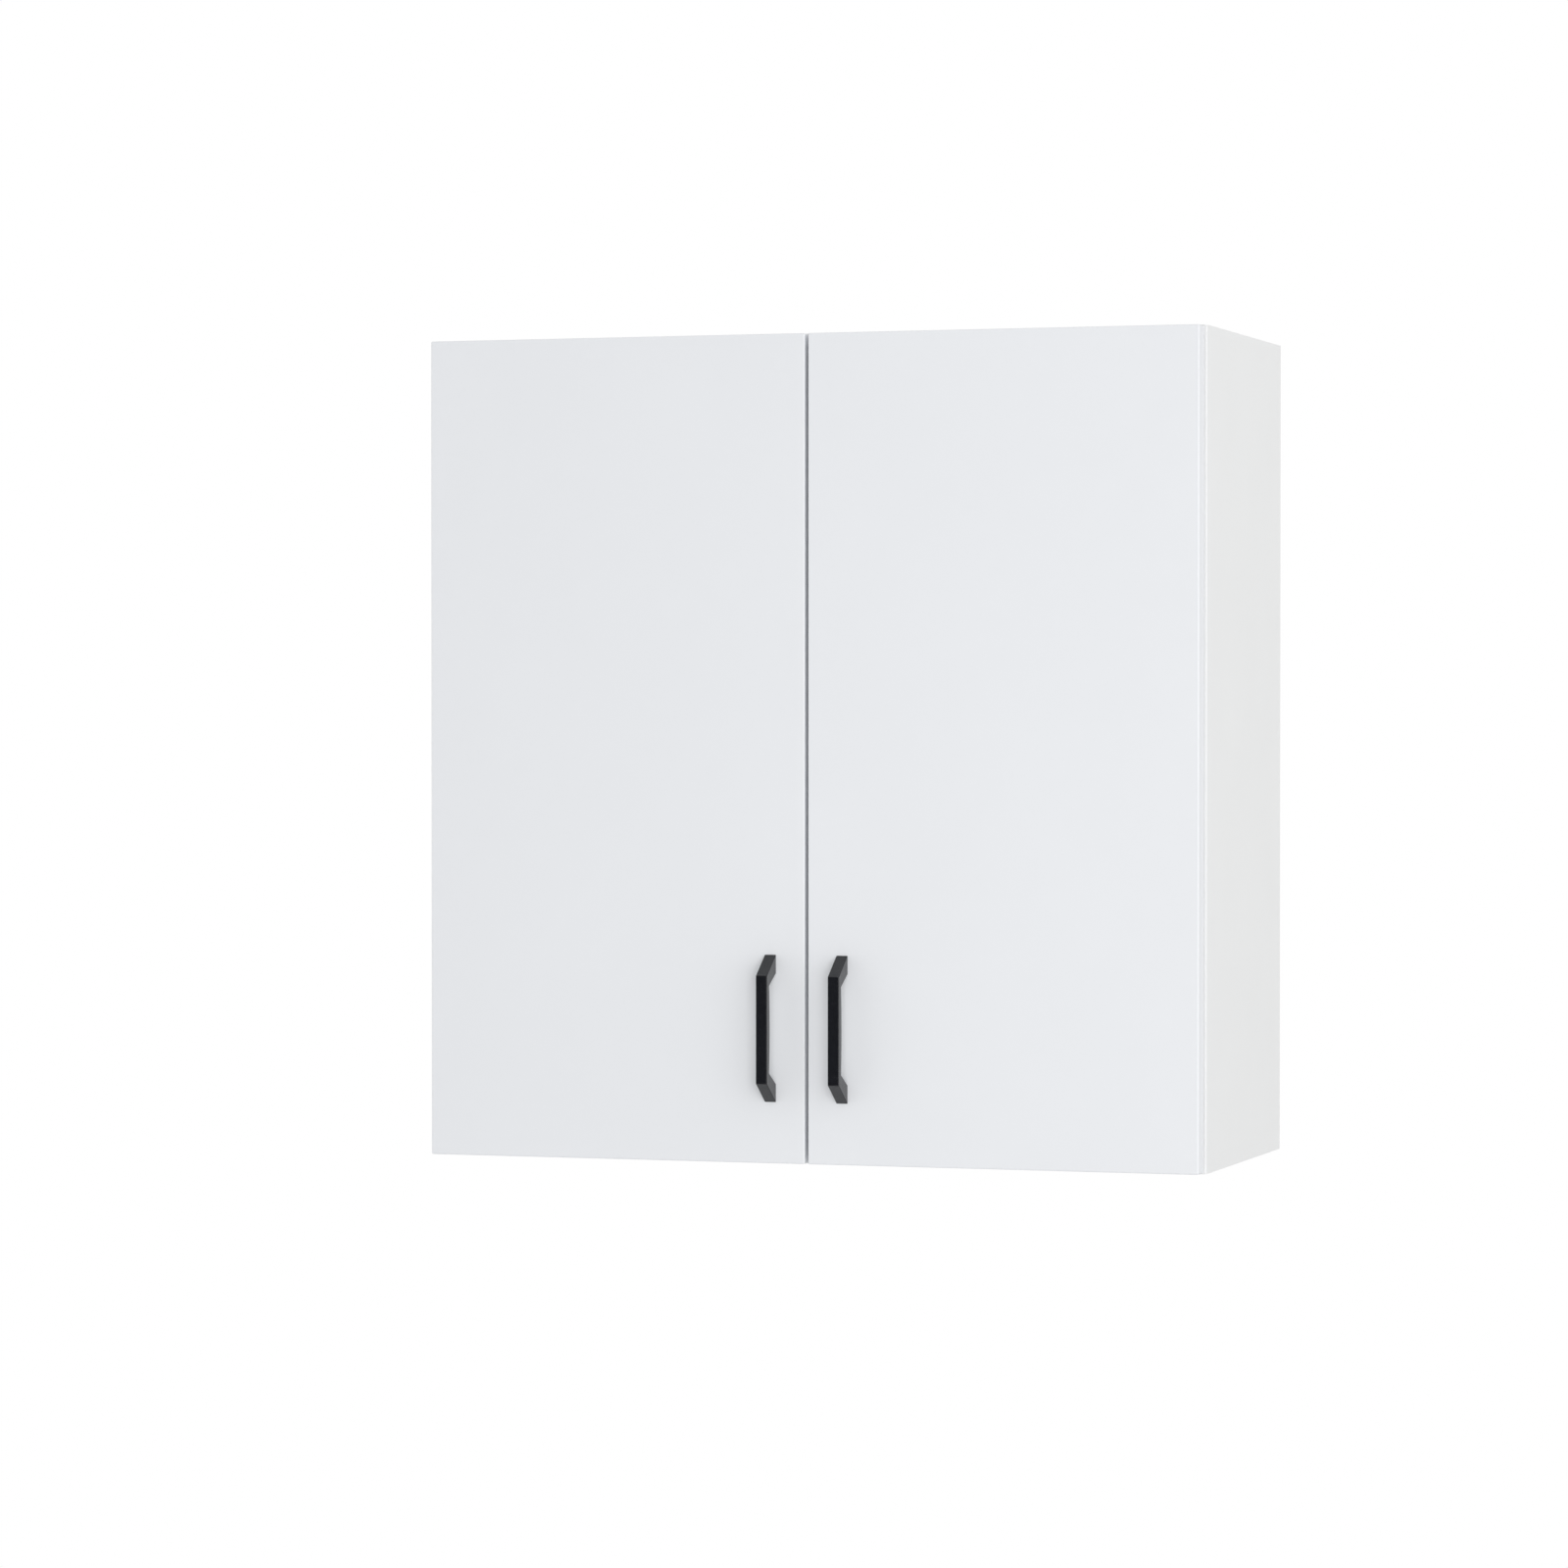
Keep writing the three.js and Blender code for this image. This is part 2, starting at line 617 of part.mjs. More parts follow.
// Channel arm on the mounting plate: two flanges joined by a web, with a pin for each link.
function hingeArm(side, z) {
  const at = (inward, ahead) => planPoint(side, { inward, ahead });
  const outerPivot = planPoint(side, ARM_OUTER_PIVOT);
  const innerPivot = planPoint(side, ARM_INNER_PIVOT);
  const outline = [
    at(ARM_NEAR_SIDE, ARM_REAR),
    at(ARM_NEAR_SIDE, ARM_NECK),
    at(ARM_OUTER_PIVOT.inward - ARM_EYE_RADIUS, ARM_OUTER_PIVOT.ahead),
    at(ARM_INNER_PIVOT.inward - ARM_NOSE, ARM_INNER_PIVOT.ahead + ARM_NOSE),
    at(ARM_INNER_PIVOT.inward + ARM_EYE_RADIUS, ARM_INNER_PIVOT.ahead),
    at(ARM_WEB[1], ARM_WEB_FRONT),
    at(ARM_WEB[1], ARM_REAR),
  ];
  const flanges = [[FLANGE_INNER, FLANGE_OUTER], [-FLANGE_OUTER, -FLANGE_INNER]].flatMap((span) => {
    const heights = span.map((offset) => z + offset);
    const eyes = [outerPivot, innerPivot].map((pivot) => bar("z", heights, pivot, ARM_EYE_RADIUS, 12));
    return [planSlab(outline, heights), ...eyes];
  });
  const webXs = ARM_WEB.map((inward) => at(inward, 0).x);
  const web = block(webXs, [aheadY(ARM_REAR), aheadY(ARM_WEB_FRONT)], [
    z - FLANGE_OUTER, z + FLANGE_OUTER,
  ]);
  const pinReach = FLANGE_INNER + PIN_IN_CHEEK;
  const outerPin = bar("z", [z, z + pinReach], outerPivot, HINGE_PIN_RADIUS, 10);
  const innerPin = bar("z", [z - pinReach, z], innerPivot, HINGE_PIN_RADIUS, 10);
  const headX = [webXs[1] + side * ADJUSTER.sunk, webXs[1] - side * ADJUSTER.proud];
  const adjusters = ADJUSTERS.map((ahead) => bar(
    "x", headX, { y: aheadY(ahead), z }, ADJUSTER.radius, 12,
  ));
  return join([...flanges, web, outerPin, innerPin, ...adjusters]);
}

// Mounting plate: how far each part runs behind and ahead of its screw line, and its half height.
const PLATE_THICKNESS = 2;
const PLATE_BASE = { behind: 21, ahead: 19, half: 8 };
const PLATE_WINGS = { behind: 7, ahead: 7, half: 24 };
const PLATE_SPINE = { behind: 19, ahead: 15, half: FLANGE_INNER - FIT_GAP };
const PLATE_WINDOW = { behind: 12, ahead: 8, half: FLANGE_INNER, wall: 3 };
const PLATE_SCREW_OFFSETS = [16, -16];
const PLATE_SCREW_RADIUS = 2.5;

// Cross-shaped mounting plate on the side panel, with a spine that the arm sits over.
function mountingPlate(side, z) {
  const inwardX = (inward) => side * (WIDTH / 2 - inward);
  const slab = (xs, { behind, ahead, half }) => block(
    xs, [aheadY(-HINGE_SCREW_LINE - behind), aheadY(-HINGE_SCREW_LINE + ahead)], [z - half, z + half],
  );
  const seat = BOARD + FIT_GAP;
  const baseXs = [inwardX(seat), inwardX(seat + PLATE_THICKNESS)];
  const base = slab(baseXs, PLATE_BASE);
  const wings = slab(baseXs, PLATE_WINGS);
  const spine = slab([inwardX(seat + FIT_GAP), inwardX(ARM_WEB[0] - FIT_GAP)], PLATE_SPINE);
  const { wall } = PLATE_WINDOW;
  const hollow = slab([inwardX(BOARD + PLATE_THICKNESS + wall), inwardX(ARM_WEB[0] - wall)], PLATE_WINDOW);
  const screwSeats = PLATE_SCREW_OFFSETS.map((offset) => bar(
    "x", [baseXs[0] + side, baseXs[1] - side], { y: aheadY(-HINGE_SCREW_LINE), z: z + offset },
    PLATE_SCREW_RADIUS, 12,
  ));
  return cut(join([base, wings, cut(spine, [hollow])]), screwSeats);
}

for (const [sideName, side] of Object.entries(SIDES)) {
  for (const [level, z] of Object.entries(HINGE_HEIGHTS)) {
    const name = `${sideName}_hinge_${level}`;
    addPiece(`${name}_cup`, hingeCup(side, z), nickel);
    addPiece(`${name}_arm`, hingeArm(side, z), nickel);
    addPiece(`${name}_plate`, mountingPlate(side, z), nickel);
    const armOuter = planPoint(side, ARM_OUTER_PIVOT);
    const cupOuter = planPoint(side, CUP_OUTER_PIVOT);
    const outerLink = hingeLink(
      armOuter, cupOuter, -side * OUTER_LINK_BOW, [z + FIT_GAP, z + LINK_REACH], [armOuter, cupOuter],
    );
    addPiece(`${name}_outer_link`, outerLink, nickel);
    const armInner = planPoint(side, ARM_INNER_PIVOT);
    const cupInner = planPoint(side, CUP_INNER_PIVOT);
    const innerLink = hingeLink(
      armInner, cupInner, 0, [z - LINK_REACH, z - FIT_GAP], [armInner],
    );
    addPiece(`${name}_inner_link`, innerLink, nickel);
  }
}

export default cabinet;
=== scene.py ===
"""Hanging wall cabinet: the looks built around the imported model. Metres, in the model's own
frame: X to the right, Y into the wall, Z up, the origin on the wall in the top panel's middle."""
import json
import math

import bmesh
import bpy
from mathutils import Euler, Matrix, Vector


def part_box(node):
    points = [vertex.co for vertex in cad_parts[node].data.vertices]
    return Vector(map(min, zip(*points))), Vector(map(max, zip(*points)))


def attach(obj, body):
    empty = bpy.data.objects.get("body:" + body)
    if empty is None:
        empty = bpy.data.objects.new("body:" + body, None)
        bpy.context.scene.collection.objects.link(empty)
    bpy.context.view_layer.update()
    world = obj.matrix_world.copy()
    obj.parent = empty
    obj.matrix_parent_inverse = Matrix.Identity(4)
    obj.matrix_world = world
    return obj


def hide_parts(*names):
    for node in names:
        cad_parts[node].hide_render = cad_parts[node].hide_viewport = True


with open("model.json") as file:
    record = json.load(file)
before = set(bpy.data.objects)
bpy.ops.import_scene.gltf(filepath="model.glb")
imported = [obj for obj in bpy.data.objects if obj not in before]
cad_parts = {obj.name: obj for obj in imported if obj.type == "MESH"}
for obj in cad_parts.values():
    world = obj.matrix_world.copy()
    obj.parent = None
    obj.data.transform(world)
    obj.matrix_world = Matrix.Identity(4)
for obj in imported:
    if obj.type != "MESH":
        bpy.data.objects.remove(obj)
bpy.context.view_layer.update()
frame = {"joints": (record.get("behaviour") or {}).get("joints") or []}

MM = 0.001
PAST = 1 * MM  # how far a cutter reaches past the face that it cuts
NEAR = 1e-6
ALIGNED = 0.99
SIDES = {"left": -1, "right": 1}
LEVELS = ("upper", "lower")
ROWS = ("front", "rear")
AXES = {"x": 0, "y": 1, "z": 2}

# -------- places taken from the frame


def box(node):
    """Lowest and highest corner of a node of the model."""
    low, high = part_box(node)
    return Vector(low), Vector(high)


def centre(node):
    low, high = box(node)
    return (low + high) / 2


def raised(point, z):
    """The same place in plan at another height."""
    return Vector((point.x, point.y, z))


CARCASS_LOW, CARCASS_HIGH = box("left_side_panel")
CARCASS_FRONT = CARCASS_LOW.y
SIDE_FACE = -CARCASS_LOW.x
INNER_HALF = -CARCASS_HIGH.x
DOOR_REAR = box("left_door")[1].y
DOOR_FRONT = box("left_door")[0].y
BACK_LOW, BACK_HIGH = box("back_panel")
DOORS_MIDDLE = Vector((0, DOOR_FRONT, (CARCASS_LOW.z + CARCASS_HIGH.z) / 2))

# -------- camera

SENSOR = 36.0
LENS = 123.3
CAMERA_YAW = math.radians(18.06)
CAMERA_PITCH = math.radians(-0.79)
CAMERA_FROM_DOORS = Vector((1.4198, -4.4162, 0.0338))


def add_object(name, data):
    made = bpy.data.objects.new(name, data)
    bpy.context.scene.collection.objects.link(made)
    return made


def add_camera():
    data = bpy.data.cameras.new("camera")
    data.sensor_width = SENSOR
    data.lens = LENS
    data.clip_end = 50
    camera = add_object("camera", data)
    camera.location = DOORS_MIDDLE + CAMERA_FROM_DOORS
    camera.rotation_euler = Euler((math.pi / 2 + CAMERA_PITCH, 0, CAMERA_YAW))
    bpy.context.scene.camera = camera


add_camera()

# -------- node helpers


class Nodes:
    """A material's node tree with a Principled shader and object-space coordinates."""

    def __init__(self, name):
        self.material = bpy.data.materials.new(name)
        self.material.use_nodes = True
        self.tree = self.material.node_tree
        self.tree.nodes.clear()
        output = self.new("OutputMaterial")
        self.shader = self.new("BsdfPrincipled")
        self.link(self.shader.outputs["BSDF"], output.inputs["Surface"])
        self.place = self.new("TexCoord").outputs["Object"]

    def new(self, kind):
        return self.tree.nodes.new("ShaderNode" + kind)

    def link(self, source, target):
        self.tree.links.new(source, target)

    def set(self, **values):
        for name, value in values.items():
            self.shader.inputs[name.replace("_", " ")].default_value = value

    def stretched(self, scale):
        mapping = self.new("Mapping")
        mapping.inputs["Scale"].default_value = scale
        self.link(self.place, mapping.inputs["Vector"])
        return mapping.outputs["Vector"]

    def warped(self, size, amount):
        """Coordinates pushed about by noise, so that cells lose their straight sides."""
        push = self.new("VectorMath")
        push.operation = "MULTIPLY_ADD"
        push.inputs[1].default_value = (amount, amount, amount)
        noise = self.new("TexNoise")
        noise.inputs["Scale"].default_value = 1 / size
        self.link(self.place, noise.inputs["Vector"])
        self.link(noise.outputs["Color"], push.inputs[0])
        self.link(self.place, push.inputs[2])
        return push.outputs["Vector"]

    def noise(self, size, detail=3.0, roughness=0.5, place=None):
        """Noise whose features are about size metres across."""
        node = self.new("TexNoise")
        node.inputs["Scale"].default_value = 1 / size
        node.inputs["Detail"].default_value = detail
        node.inputs["Roughness"].default_value = roughness
        self.link(place or self.place, node.inputs["Vector"])
        return node.outputs["Fac"]

    def cells(self, size, output="Color", place=None):
        node = self.new("TexVoronoi")
        node.inputs["Scale"].default_value = 1 / size
        self.link(place or self.place, node.inputs["Vector"])
        return node.outputs[output]

    def ramp(self, source, stops):
        node = self.new("ValToRGB")
        elements = node.color_ramp.elements
        while len(elements) < len(stops):
            elements.new(0.5)
        for element, (at, colour) in zip(elements, stops):
            element.position = at
            element.color = (*colour, 1)
        self.link(source, node.inputs["Fac"])
        return node.outputs["Color"]

    def span(self, source, low, high):
        """Maps a 0 to 1 source to the range low to high."""
        node = self.new("MapRange")
        node.inputs["To Min"].default_value = low
        node.inputs["To Max"].default_value = high
        self.link(source, node.inputs["Value"])
        return node.outputs["Result"]

    def add(self, first, second):
        node = self.new("Math")
        node.operation = "ADD"
        self.link(first, node.inputs[0])
        self.link(second, node.inputs[1])
        return node.outputs[0]

    def colour(self, source):
        self.link(source, self.shader.inputs["Base Color"])

    def rough(self, source, low, high):
        self.link(self.span(source, low, high), self.shader.inputs["Roughness"])

    def bump(self, *layers):
        """Chains bump nodes; each layer is (height source, depth in metres)."""
        normal = None
        for source, depth in layers:
            node = self.new("Bump")
            node.inputs["Strength"].default_value = 1.0
            node.inputs["Distance"].default_value = depth
            self.link(source, node.inputs["Height"])
            if normal is not None:
                self.link(normal, node.inputs["Normal"])
            normal = node.outputs["Normal"]
        self.link(normal, self.shader.inputs["Normal"])


TONE_STOPS = (0.3, 0.7)


def tones(colour, spread):
    """The same colour a little darker and a little lighter."""
    return [
        (stop, tuple(channel * (1 + change) for channel in colour))
        for stop, change in zip(TONE_STOPS, (-spread, spread))
    ]


# -------- materials

WHITE_BOARD = (0.872, 0.879, 0.879)
WHITE_DOOR = (0.852, 0.868, 0.894)
WHITE_BAND = (0.865, 0.872, 0.876)
WHITE_BACK = (0.830, 0.830, 0.820)


def melamine():
    """Pearl-textured white melamine facing."""
    m = Nodes("white_melamine")
    m.colour(m.ramp(m.noise(0.09, detail=4), tones(WHITE_BOARD, 0.006)))
    m.rough(m.noise(0.02, detail=4), 0.40, 0.50)
    m.bump((m.noise(0.0011, detail=2), 0.00003), (m.noise(0.06, detail=2), 0.00005))
    return m.material


def door_foil():
    """Satin white foil pulled over a routed slab."""
    m = Nodes("white_door_foil")
    m.colour(m.ramp(m.noise(0.12, detail=3), tones(WHITE_DOOR, 0.004)))
    m.rough(m.noise(0.03, detail=4), 0.30, 0.38)
    m.bump((m.noise(0.0007, detail=2), 0.000012), (m.noise(0.045, detail=2), 0.00004))
    m.set(Specular_IOR_Level=0.35)
    return m.material


def edge_band():
    """Plastic edge band, a touch smoother than the melamine, with faint scraper chatter."""
    m = Nodes("white_edge_band")
    m.colour(m.ramp(m.noise(0.03, detail=3), tones(WHITE_BAND, 0.008)))
    m.rough(m.noise(0.006, detail=3), 0.30, 0.42)
    chatter = m.noise(0.004, detail=2, place=m.stretched((1, 1, 6)))
    m.bump((chatter, 0.00002))
    return m.material


def particleboard():
    """Sawn particleboard edge: pressed slivers of mixed tan, with pits between them."""
    m = Nodes("raw_particleboard")
    bent = m.warped(0.003, 0.0022)
    chips = m.cells(0.0016, place=bent)
    m.colour(m.ramp(m.span(m.add(chips, m.noise(0.0009, detail=4)), 0.0, 0.5), [
        (0.15, (0.215, 0.140, 0.078)),
        (0.38, (0.395, 0.290, 0.180)),
        (0.60, (0.500, 0.385, 0.250)),
        (0.85, (0.620, 0.500, 0.345)),
    ]))
    m.rough(m.noise(0.002, detail=4), 0.75, 0.95)
    m.bump((m.cells(0.0016, "Distance", bent), 0.00030), (m.noise(0.0006, detail=3), 0.00012))
    return m.material


def white_hardboard():
    """Lacquered face of the thin back panel."""
    m = Nodes("white_lacquered_hardboard")
    m.colour(m.ramp(m.noise(0.05, detail=4), tones(WHITE_BACK, 0.01)))
    m.rough(m.noise(0.012, detail=4), 0.42, 0.56)
    m.bump((m.noise(0.0016, detail=2), 0.00003))
    return m.material


def brown_hardboard():
    """The back panel's bare side: brown pressed fibre with a screen pattern."""
    m = Nodes("brown_hardboard")
    fibres = m.noise(0.004, detail=6, roughness=0.65)
    m.colour(m.ramp(fibres, [
        (0.25, (0.105, 0.058, 0.030)),
        (0.55, (0.205, 0.125, 0.070)),
        (0.8, (0.290, 0.190, 0.115)),
    ]))
    m.rough(m.noise(0.01, detail=3), 0.72, 0.9)
    m.bump((m.cells(0.0013, "Distance"), 0.00012), (fibres, 0.00008))
    return m.material


def powder_black():
    """Satin black powder coat with a fine orange peel."""
    m = Nodes("black_powder_coat")
    m.colour(m.ramp(m.noise(0.004, detail=3), [
        (0.3, (0.0076, 0.0082, 0.0107)),
        (0.7, (0.0104, 0.0112, 0.0144)),
    ]))
    m.rough(m.noise(0.003, detail=4), 0.17, 0.27)
    m.bump((m.noise(0.0006, detail=2), 0.00002))
    m.set(Specular_IOR_Level=0.42)
    return m.material


def nickel(name="nickel_plate", low=0.20, high=0.30, colour=(0.74, 0.725, 0.70)):
    """Nickel-plated pressed steel with faint rolling lines."""
    m = Nodes(name)
    m.set(Metallic=1.0)
    m.colour(m.ramp(m.noise(0.008, detail=3), tones(colour, 0.02)))
    lines = m.noise(0.0020, detail=3, place=m.stretched((1, 6, 1)))
    m.rough(lines, low, high)
    m.bump((lines, 0.000003), (m.noise(0.0009, detail=2), 0.000003))
    return m.material


def zinc():
    """Dull die-cast zinc."""
    m = Nodes("die_cast_zinc")
    m.set(Metallic=1.0)
    m.colour(m.ramp(m.noise(0.003, detail=5), tones((0.44, 0.445, 0.455), 0.12)))
    m.rough(m.noise(0.002, detail=4), 0.42, 0.6)
    m.bump((m.noise(0.0012, detail=4), 0.00004))
    return m.material


def clear_pad():
    """Clear soft plastic of the stick-on door pads."""
    m = Nodes("clear_pad")
    m.colour(m.ramp(m.noise(0.002, detail=2), tones((0.90, 0.92, 0.92), 0.02)))
    m.rough(m.noise(0.001, detail=2), 0.08, 0.16)
    m.bump((m.noise(0.002, detail=2), 0.00002))
    m.set(Transmission_Weight=0.85, IOR=1.48)
    return m.material


MELAMINE = melamine()
FOIL = door_foil()
BAND = edge_band()
RAW = particleboard()
BACK_WHITE = white_hardboard()
BACK_BROWN = brown_hardboard()
BLACK = powder_black()
NICKEL = nickel()
SCREW = nickel("screw_nickel", 0.16, 0.26, (0.78, 0.765, 0.74))
ZINC = zinc()
CLEAR = clear_pad()

# -------- mesh helpers

BOOLEAN_WELD = 0.004 * MM
BEVEL_WELD = 0.002 * MM
SHARP_ANGLE = 50
CREASE_ANGLE = 40
NORMAL_WEIGHT = 80


def add_block(mesh, low, high):
    """Adds a closed box between two corners, given in any order."""
    size = [abs(b - a) for a, b in zip(low, high)]
    middle = [(a + b) / 2 for a, b in zip(low, high)]
    matrix = Matrix.Translation(middle) @ Matrix.Diagonal((*size, 1))
    bmesh.ops.create_cube(mesh, size=1, matrix=matrix)


def turned_to(axis):
    """Turns +Z to the wanted axis."""
    if axis == "x":
        return Matrix.Rotation(math.pi / 2, 4, "Y")
    if axis == "y":
        return Matrix.Rotation(-math.pi / 2, 4, "X")
    return Matrix.Identity(4)


def add_turned(mesh, profile, start, axis="z", direction=1, steps=32):
    """Adds a closed body of revolution. The profile is (radius, along) from axis to axis."""
    spin = turned_to(axis)
    if direction < 0:
        spin = spin @ Matrix.Rotation(math.pi, 4, "X")
    matrix = Matrix.Translation(start) @ spin
    rings = []
    for radius, along in profile:
        if radius < NEAR:
            rings.append([mesh.verts.new(matrix @ Vector((0, 0, along)))])
            continue
        angles = [2 * math.pi * step / steps for step in range(steps)]
        rings.append([
            mesh.verts.new(matrix @ Vector((radius * math.cos(a), radius * math.sin(a), along)))
            for a in angles
        ])
    made = []
    for first, second in zip(rings, rings[1:]):
        for step in range(steps):
            after = (step + 1) % steps
            corners = [first[step % len(first)], first[after % len(first)],
                       second[after % len(second)], second[step % len(second)]]
            unique = list(dict.fromkeys(corners))
            if len(unique) > 2:
                made.append(mesh.faces.new(unique))
    bmesh.ops.recalc_face_normals(mesh, faces=made)


def add_rod(mesh, start, end, radius, steps=32):
    """Adds a round bar between two points."""
    start, end = Vector(start), Vector(end)
    along = end - start
    turn = along.to_track_quat("Z", "Y").to_matrix().to_4x4()
    matrix = Matrix.Translation((start + end) / 2) @ turn
    bmesh.ops.create_cone(
        mesh, cap_ends=True, segments=steps, radius1=radius, radius2=radius,
        depth=along.length, matrix=matrix,
    )


def add_prism(mesh, outline, offset):
    """Adds a closed prism: a flat outline of 3-D points pushed along an offset."""
    base = [mesh.verts.new(point) for point in outline]
    face = mesh.faces.new(base)
    made = bmesh.ops.extrude_face_region(mesh, geom=[face])["geom"]
    moved = [item for item in made if isinstance(item, bmesh.types.BMVert)]
    bmesh.ops.translate(mesh, verts=moved, vec=offset)
    bmesh.ops.recalc_face_normals(mesh, faces=mesh.faces)


def solid_of(outline, offset):
    mesh = bmesh.new()
    add_prism(mesh, outline, offset)
    return mesh


def rod_of(start, end, radius, steps=32):
    mesh = bmesh.new()
    add_rod(mesh, start, end, radius, steps)
    return mesh


def block_of(low, high):
    mesh = bmesh.new()
    add_block(mesh, low, high)
    return mesh


def make_object(name, mesh, materials):
    data = bpy.data.meshes.new(name)
    mesh.to_mesh(data)
    mesh.free()
    for material in materials:
        data.materials.append(material)
    return add_object(name, data)


def weld(data, distance):
    """Merges points that came out only a rounding error apart."""
    mesh = bmesh.new()
    mesh.from_mesh(data)
    bmesh.ops.remove_doubles(mesh, verts=mesh.verts, dist=distance)
    bmesh.ops.dissolve_degenerate(mesh, edges=mesh.edges, dist=distance)
    mesh.to_mesh(data)
    mesh.free()


def apply_modifiers(item, distance):
    """Keeps what the item's modifiers make of it as its mesh, welded, with its own materials."""
    old = item.data
    slots = list(old.materials)
    graph = bpy.context.evaluated_depsgraph_get()
    result = bpy.data.meshes.new_from_object(item.evaluated_get(graph))
    weld(result, distance)
    picks = [face.material_index for face in result.polygons]
    item.modifiers.clear()
    item.data = result
    item.data.materials.clear()
    for material in slots:
        item.data.materials.append(material)
    item.data.polygons.foreach_set("material_index", picks)
    bpy.data.meshes.remove(old)


def combine(item, tool_mesh, operation="DIFFERENCE"):
    """Cuts or joins the item with a bmesh of closed tools, and keeps the result."""
    tool = make_object("tool", tool_mesh, [])
    modifier = item.modifiers.new("boolean", "BOOLEAN")
    modifier.operation = operation
    modifier.solver = "EXACT"
    modifier.object = tool
    apply_modifiers(item, BOOLEAN_WELD)
    tool_data = tool.data
    bpy.data.objects.remove(tool)
    bpy.data.meshes.remove(tool_data)


def join_all(item, meshes):
    for mesh in meshes:
        combine(item, mesh, "UNION")


def cut_all(item, meshes):
    for mesh in meshes:
        combine(item, mesh)


def soften(item, width, segments=2, angle=SHARP_ANGLE):
    """Rounds every sharp edge a little and keeps flat faces flat."""
    smooth(item)
    bevel = item.modifiers.new("bevel", "BEVEL")
    bevel.width = width
    bevel.segments = segments
    bevel.limit_method = "ANGLE"
    bevel.angle_limit = math.radians(angle)
    bevel.miter_outer = "MITER_ARC"
    bevel.use_clamp_overlap = True
    apply_modifiers(item, BEVEL_WELD)
    weigh_normals(item)


def smooth(item, angle=CREASE_ANGLE):
    """Smooth shading with creases kept."""
    item.data.shade_smooth()
    item.data.set_sharp_from_angle(angle=math.radians(angle))


def shade(item, angle=CREASE_ANGLE):
    """Smooth shading with face-weighted normals and creases kept."""
    smooth(item, angle)
    weigh_normals(item)


def weigh_normals(item):
    weighted = item.modifiers.new("normals", "WEIGHTED_NORMAL")
    weighted.keep_sharp = True
    weighted.weight = NORMAL_WEIGHT


def place(item, body, slot, *nodes):
    """Hangs a piece on the body that it rides on and hides the nodes that it stands for; the slot
    argument is not used.
    """
    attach(item, body)
    if nodes:
        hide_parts(*nodes)


# -------- carcass boards

PANEL_EDGE_RADIUS = 0.42 * MM
SHELF_EDGE_RADIUS = 0.7 * MM
BACK_EDGE_RADIUS = 0.3 * MM
GROOVE_DEPTH = 8 * MM
GROOVE_ROOM = 0.25 * MM
HOLE_RADIUS = 2.6 * MM
HOLE_DEPTH = 9 * MM
HOLE_PITCH = 32 * MM
PLATE_PILOT_RADIUS = 2.1 * MM
PLATE_PILOT_DEPTH = 11.5 * MM
PLATE_SCREW_REACH = 16 * MM
HINGE_SCREW_LINE = 37 * MM
CAM_BORE_RADIUS = 7.4 * MM
CAM_BORE_DEPTH = 12.3 * MM
BACK_HOLE_RADIUS = 5 * MM


def paint_faces(item, pick):
    """Gives each face the material slot that pick(normal, centre) returns."""
    for face in item.data.polygons:
        face.material_index = pick(face.normal, face.center)


def pick_board_slot(facing_axis):
    """Facing on the two broad sides, band on the front and ends, bare board on the rest."""
    def pick(normal, middle):
        if abs(normal[AXES[facing_axis]]) > ALIGNED:
            return 0
        on_end = facing_axis == "x" and abs(normal.z) > ALIGNED
        return 1 if on_end or normal.y < -ALIGNED else 2
    return pick


def groove_block(mesh, x_ends, z_ends):
    """The groove that holds the back panel, with a little room round the panel."""
    y_ends = (BACK_LOW.y - GROOVE_ROOM, BACK_HIGH.y + GROOVE_ROOM)
    add_block(mesh, *zip(x_ends, y_ends, z_ends))


def pin_nodes(side_name):
    return [f"shelf_pin_{shelf}_{side_name}_{row}"
            for shelf in ("lower", "upper") for row in ROWS]


def plate_screw_places(side_name, level):
    """Centres, in y and z, of the two screws that fasten a hinge's mounting plate."""
    middle = centre(f"{side_name}_hinge_{level}_plate")
    y = CARCASS_FRONT + HINGE_SCREW_LINE
    return [(y, middle.z + PLATE_SCREW_REACH), (y, middle.z - PLATE_SCREW_REACH)]


def make_side_panel(side_name, side):
    node = f"{side_name}_side_panel"
    board = block_of(*box(node))
    panel = make_object(f"{side_name}_side_board", board, [MELAMINE, BAND, RAW])
    tools = bmesh.new()
    inner = side * INNER_HALF
    start = inner - side * PAST
    groove_block(
        tools, (start, inner + side * GROOVE_DEPTH), (BACK_LOW.z - PAST, BACK_HIGH.z + PAST),
    )
    for pin in pin_nodes(side_name):
        y = centre(pin).y
        for step in (-1, 0, 1):
            z = centre(pin).z + step * HOLE_PITCH
            add_rod(tools, (start, y, z), (inner + side * HOLE_DEPTH, y, z), HOLE_RADIUS, 24)
    for level in LEVELS:
        for y, z in plate_screw_places(side_name, level):
            end = (inner + side * PLATE_PILOT_DEPTH, y, z)
            add_rod(tools, (start, y, z), end, PLATE_PILOT_RADIUS, 16)
    combine(panel, tools)
    paint_faces(panel, pick_board_slot("x"))
    soften(panel, PANEL_EDGE_RADIUS)
    place(panel, "cabinet", "white_board", node)


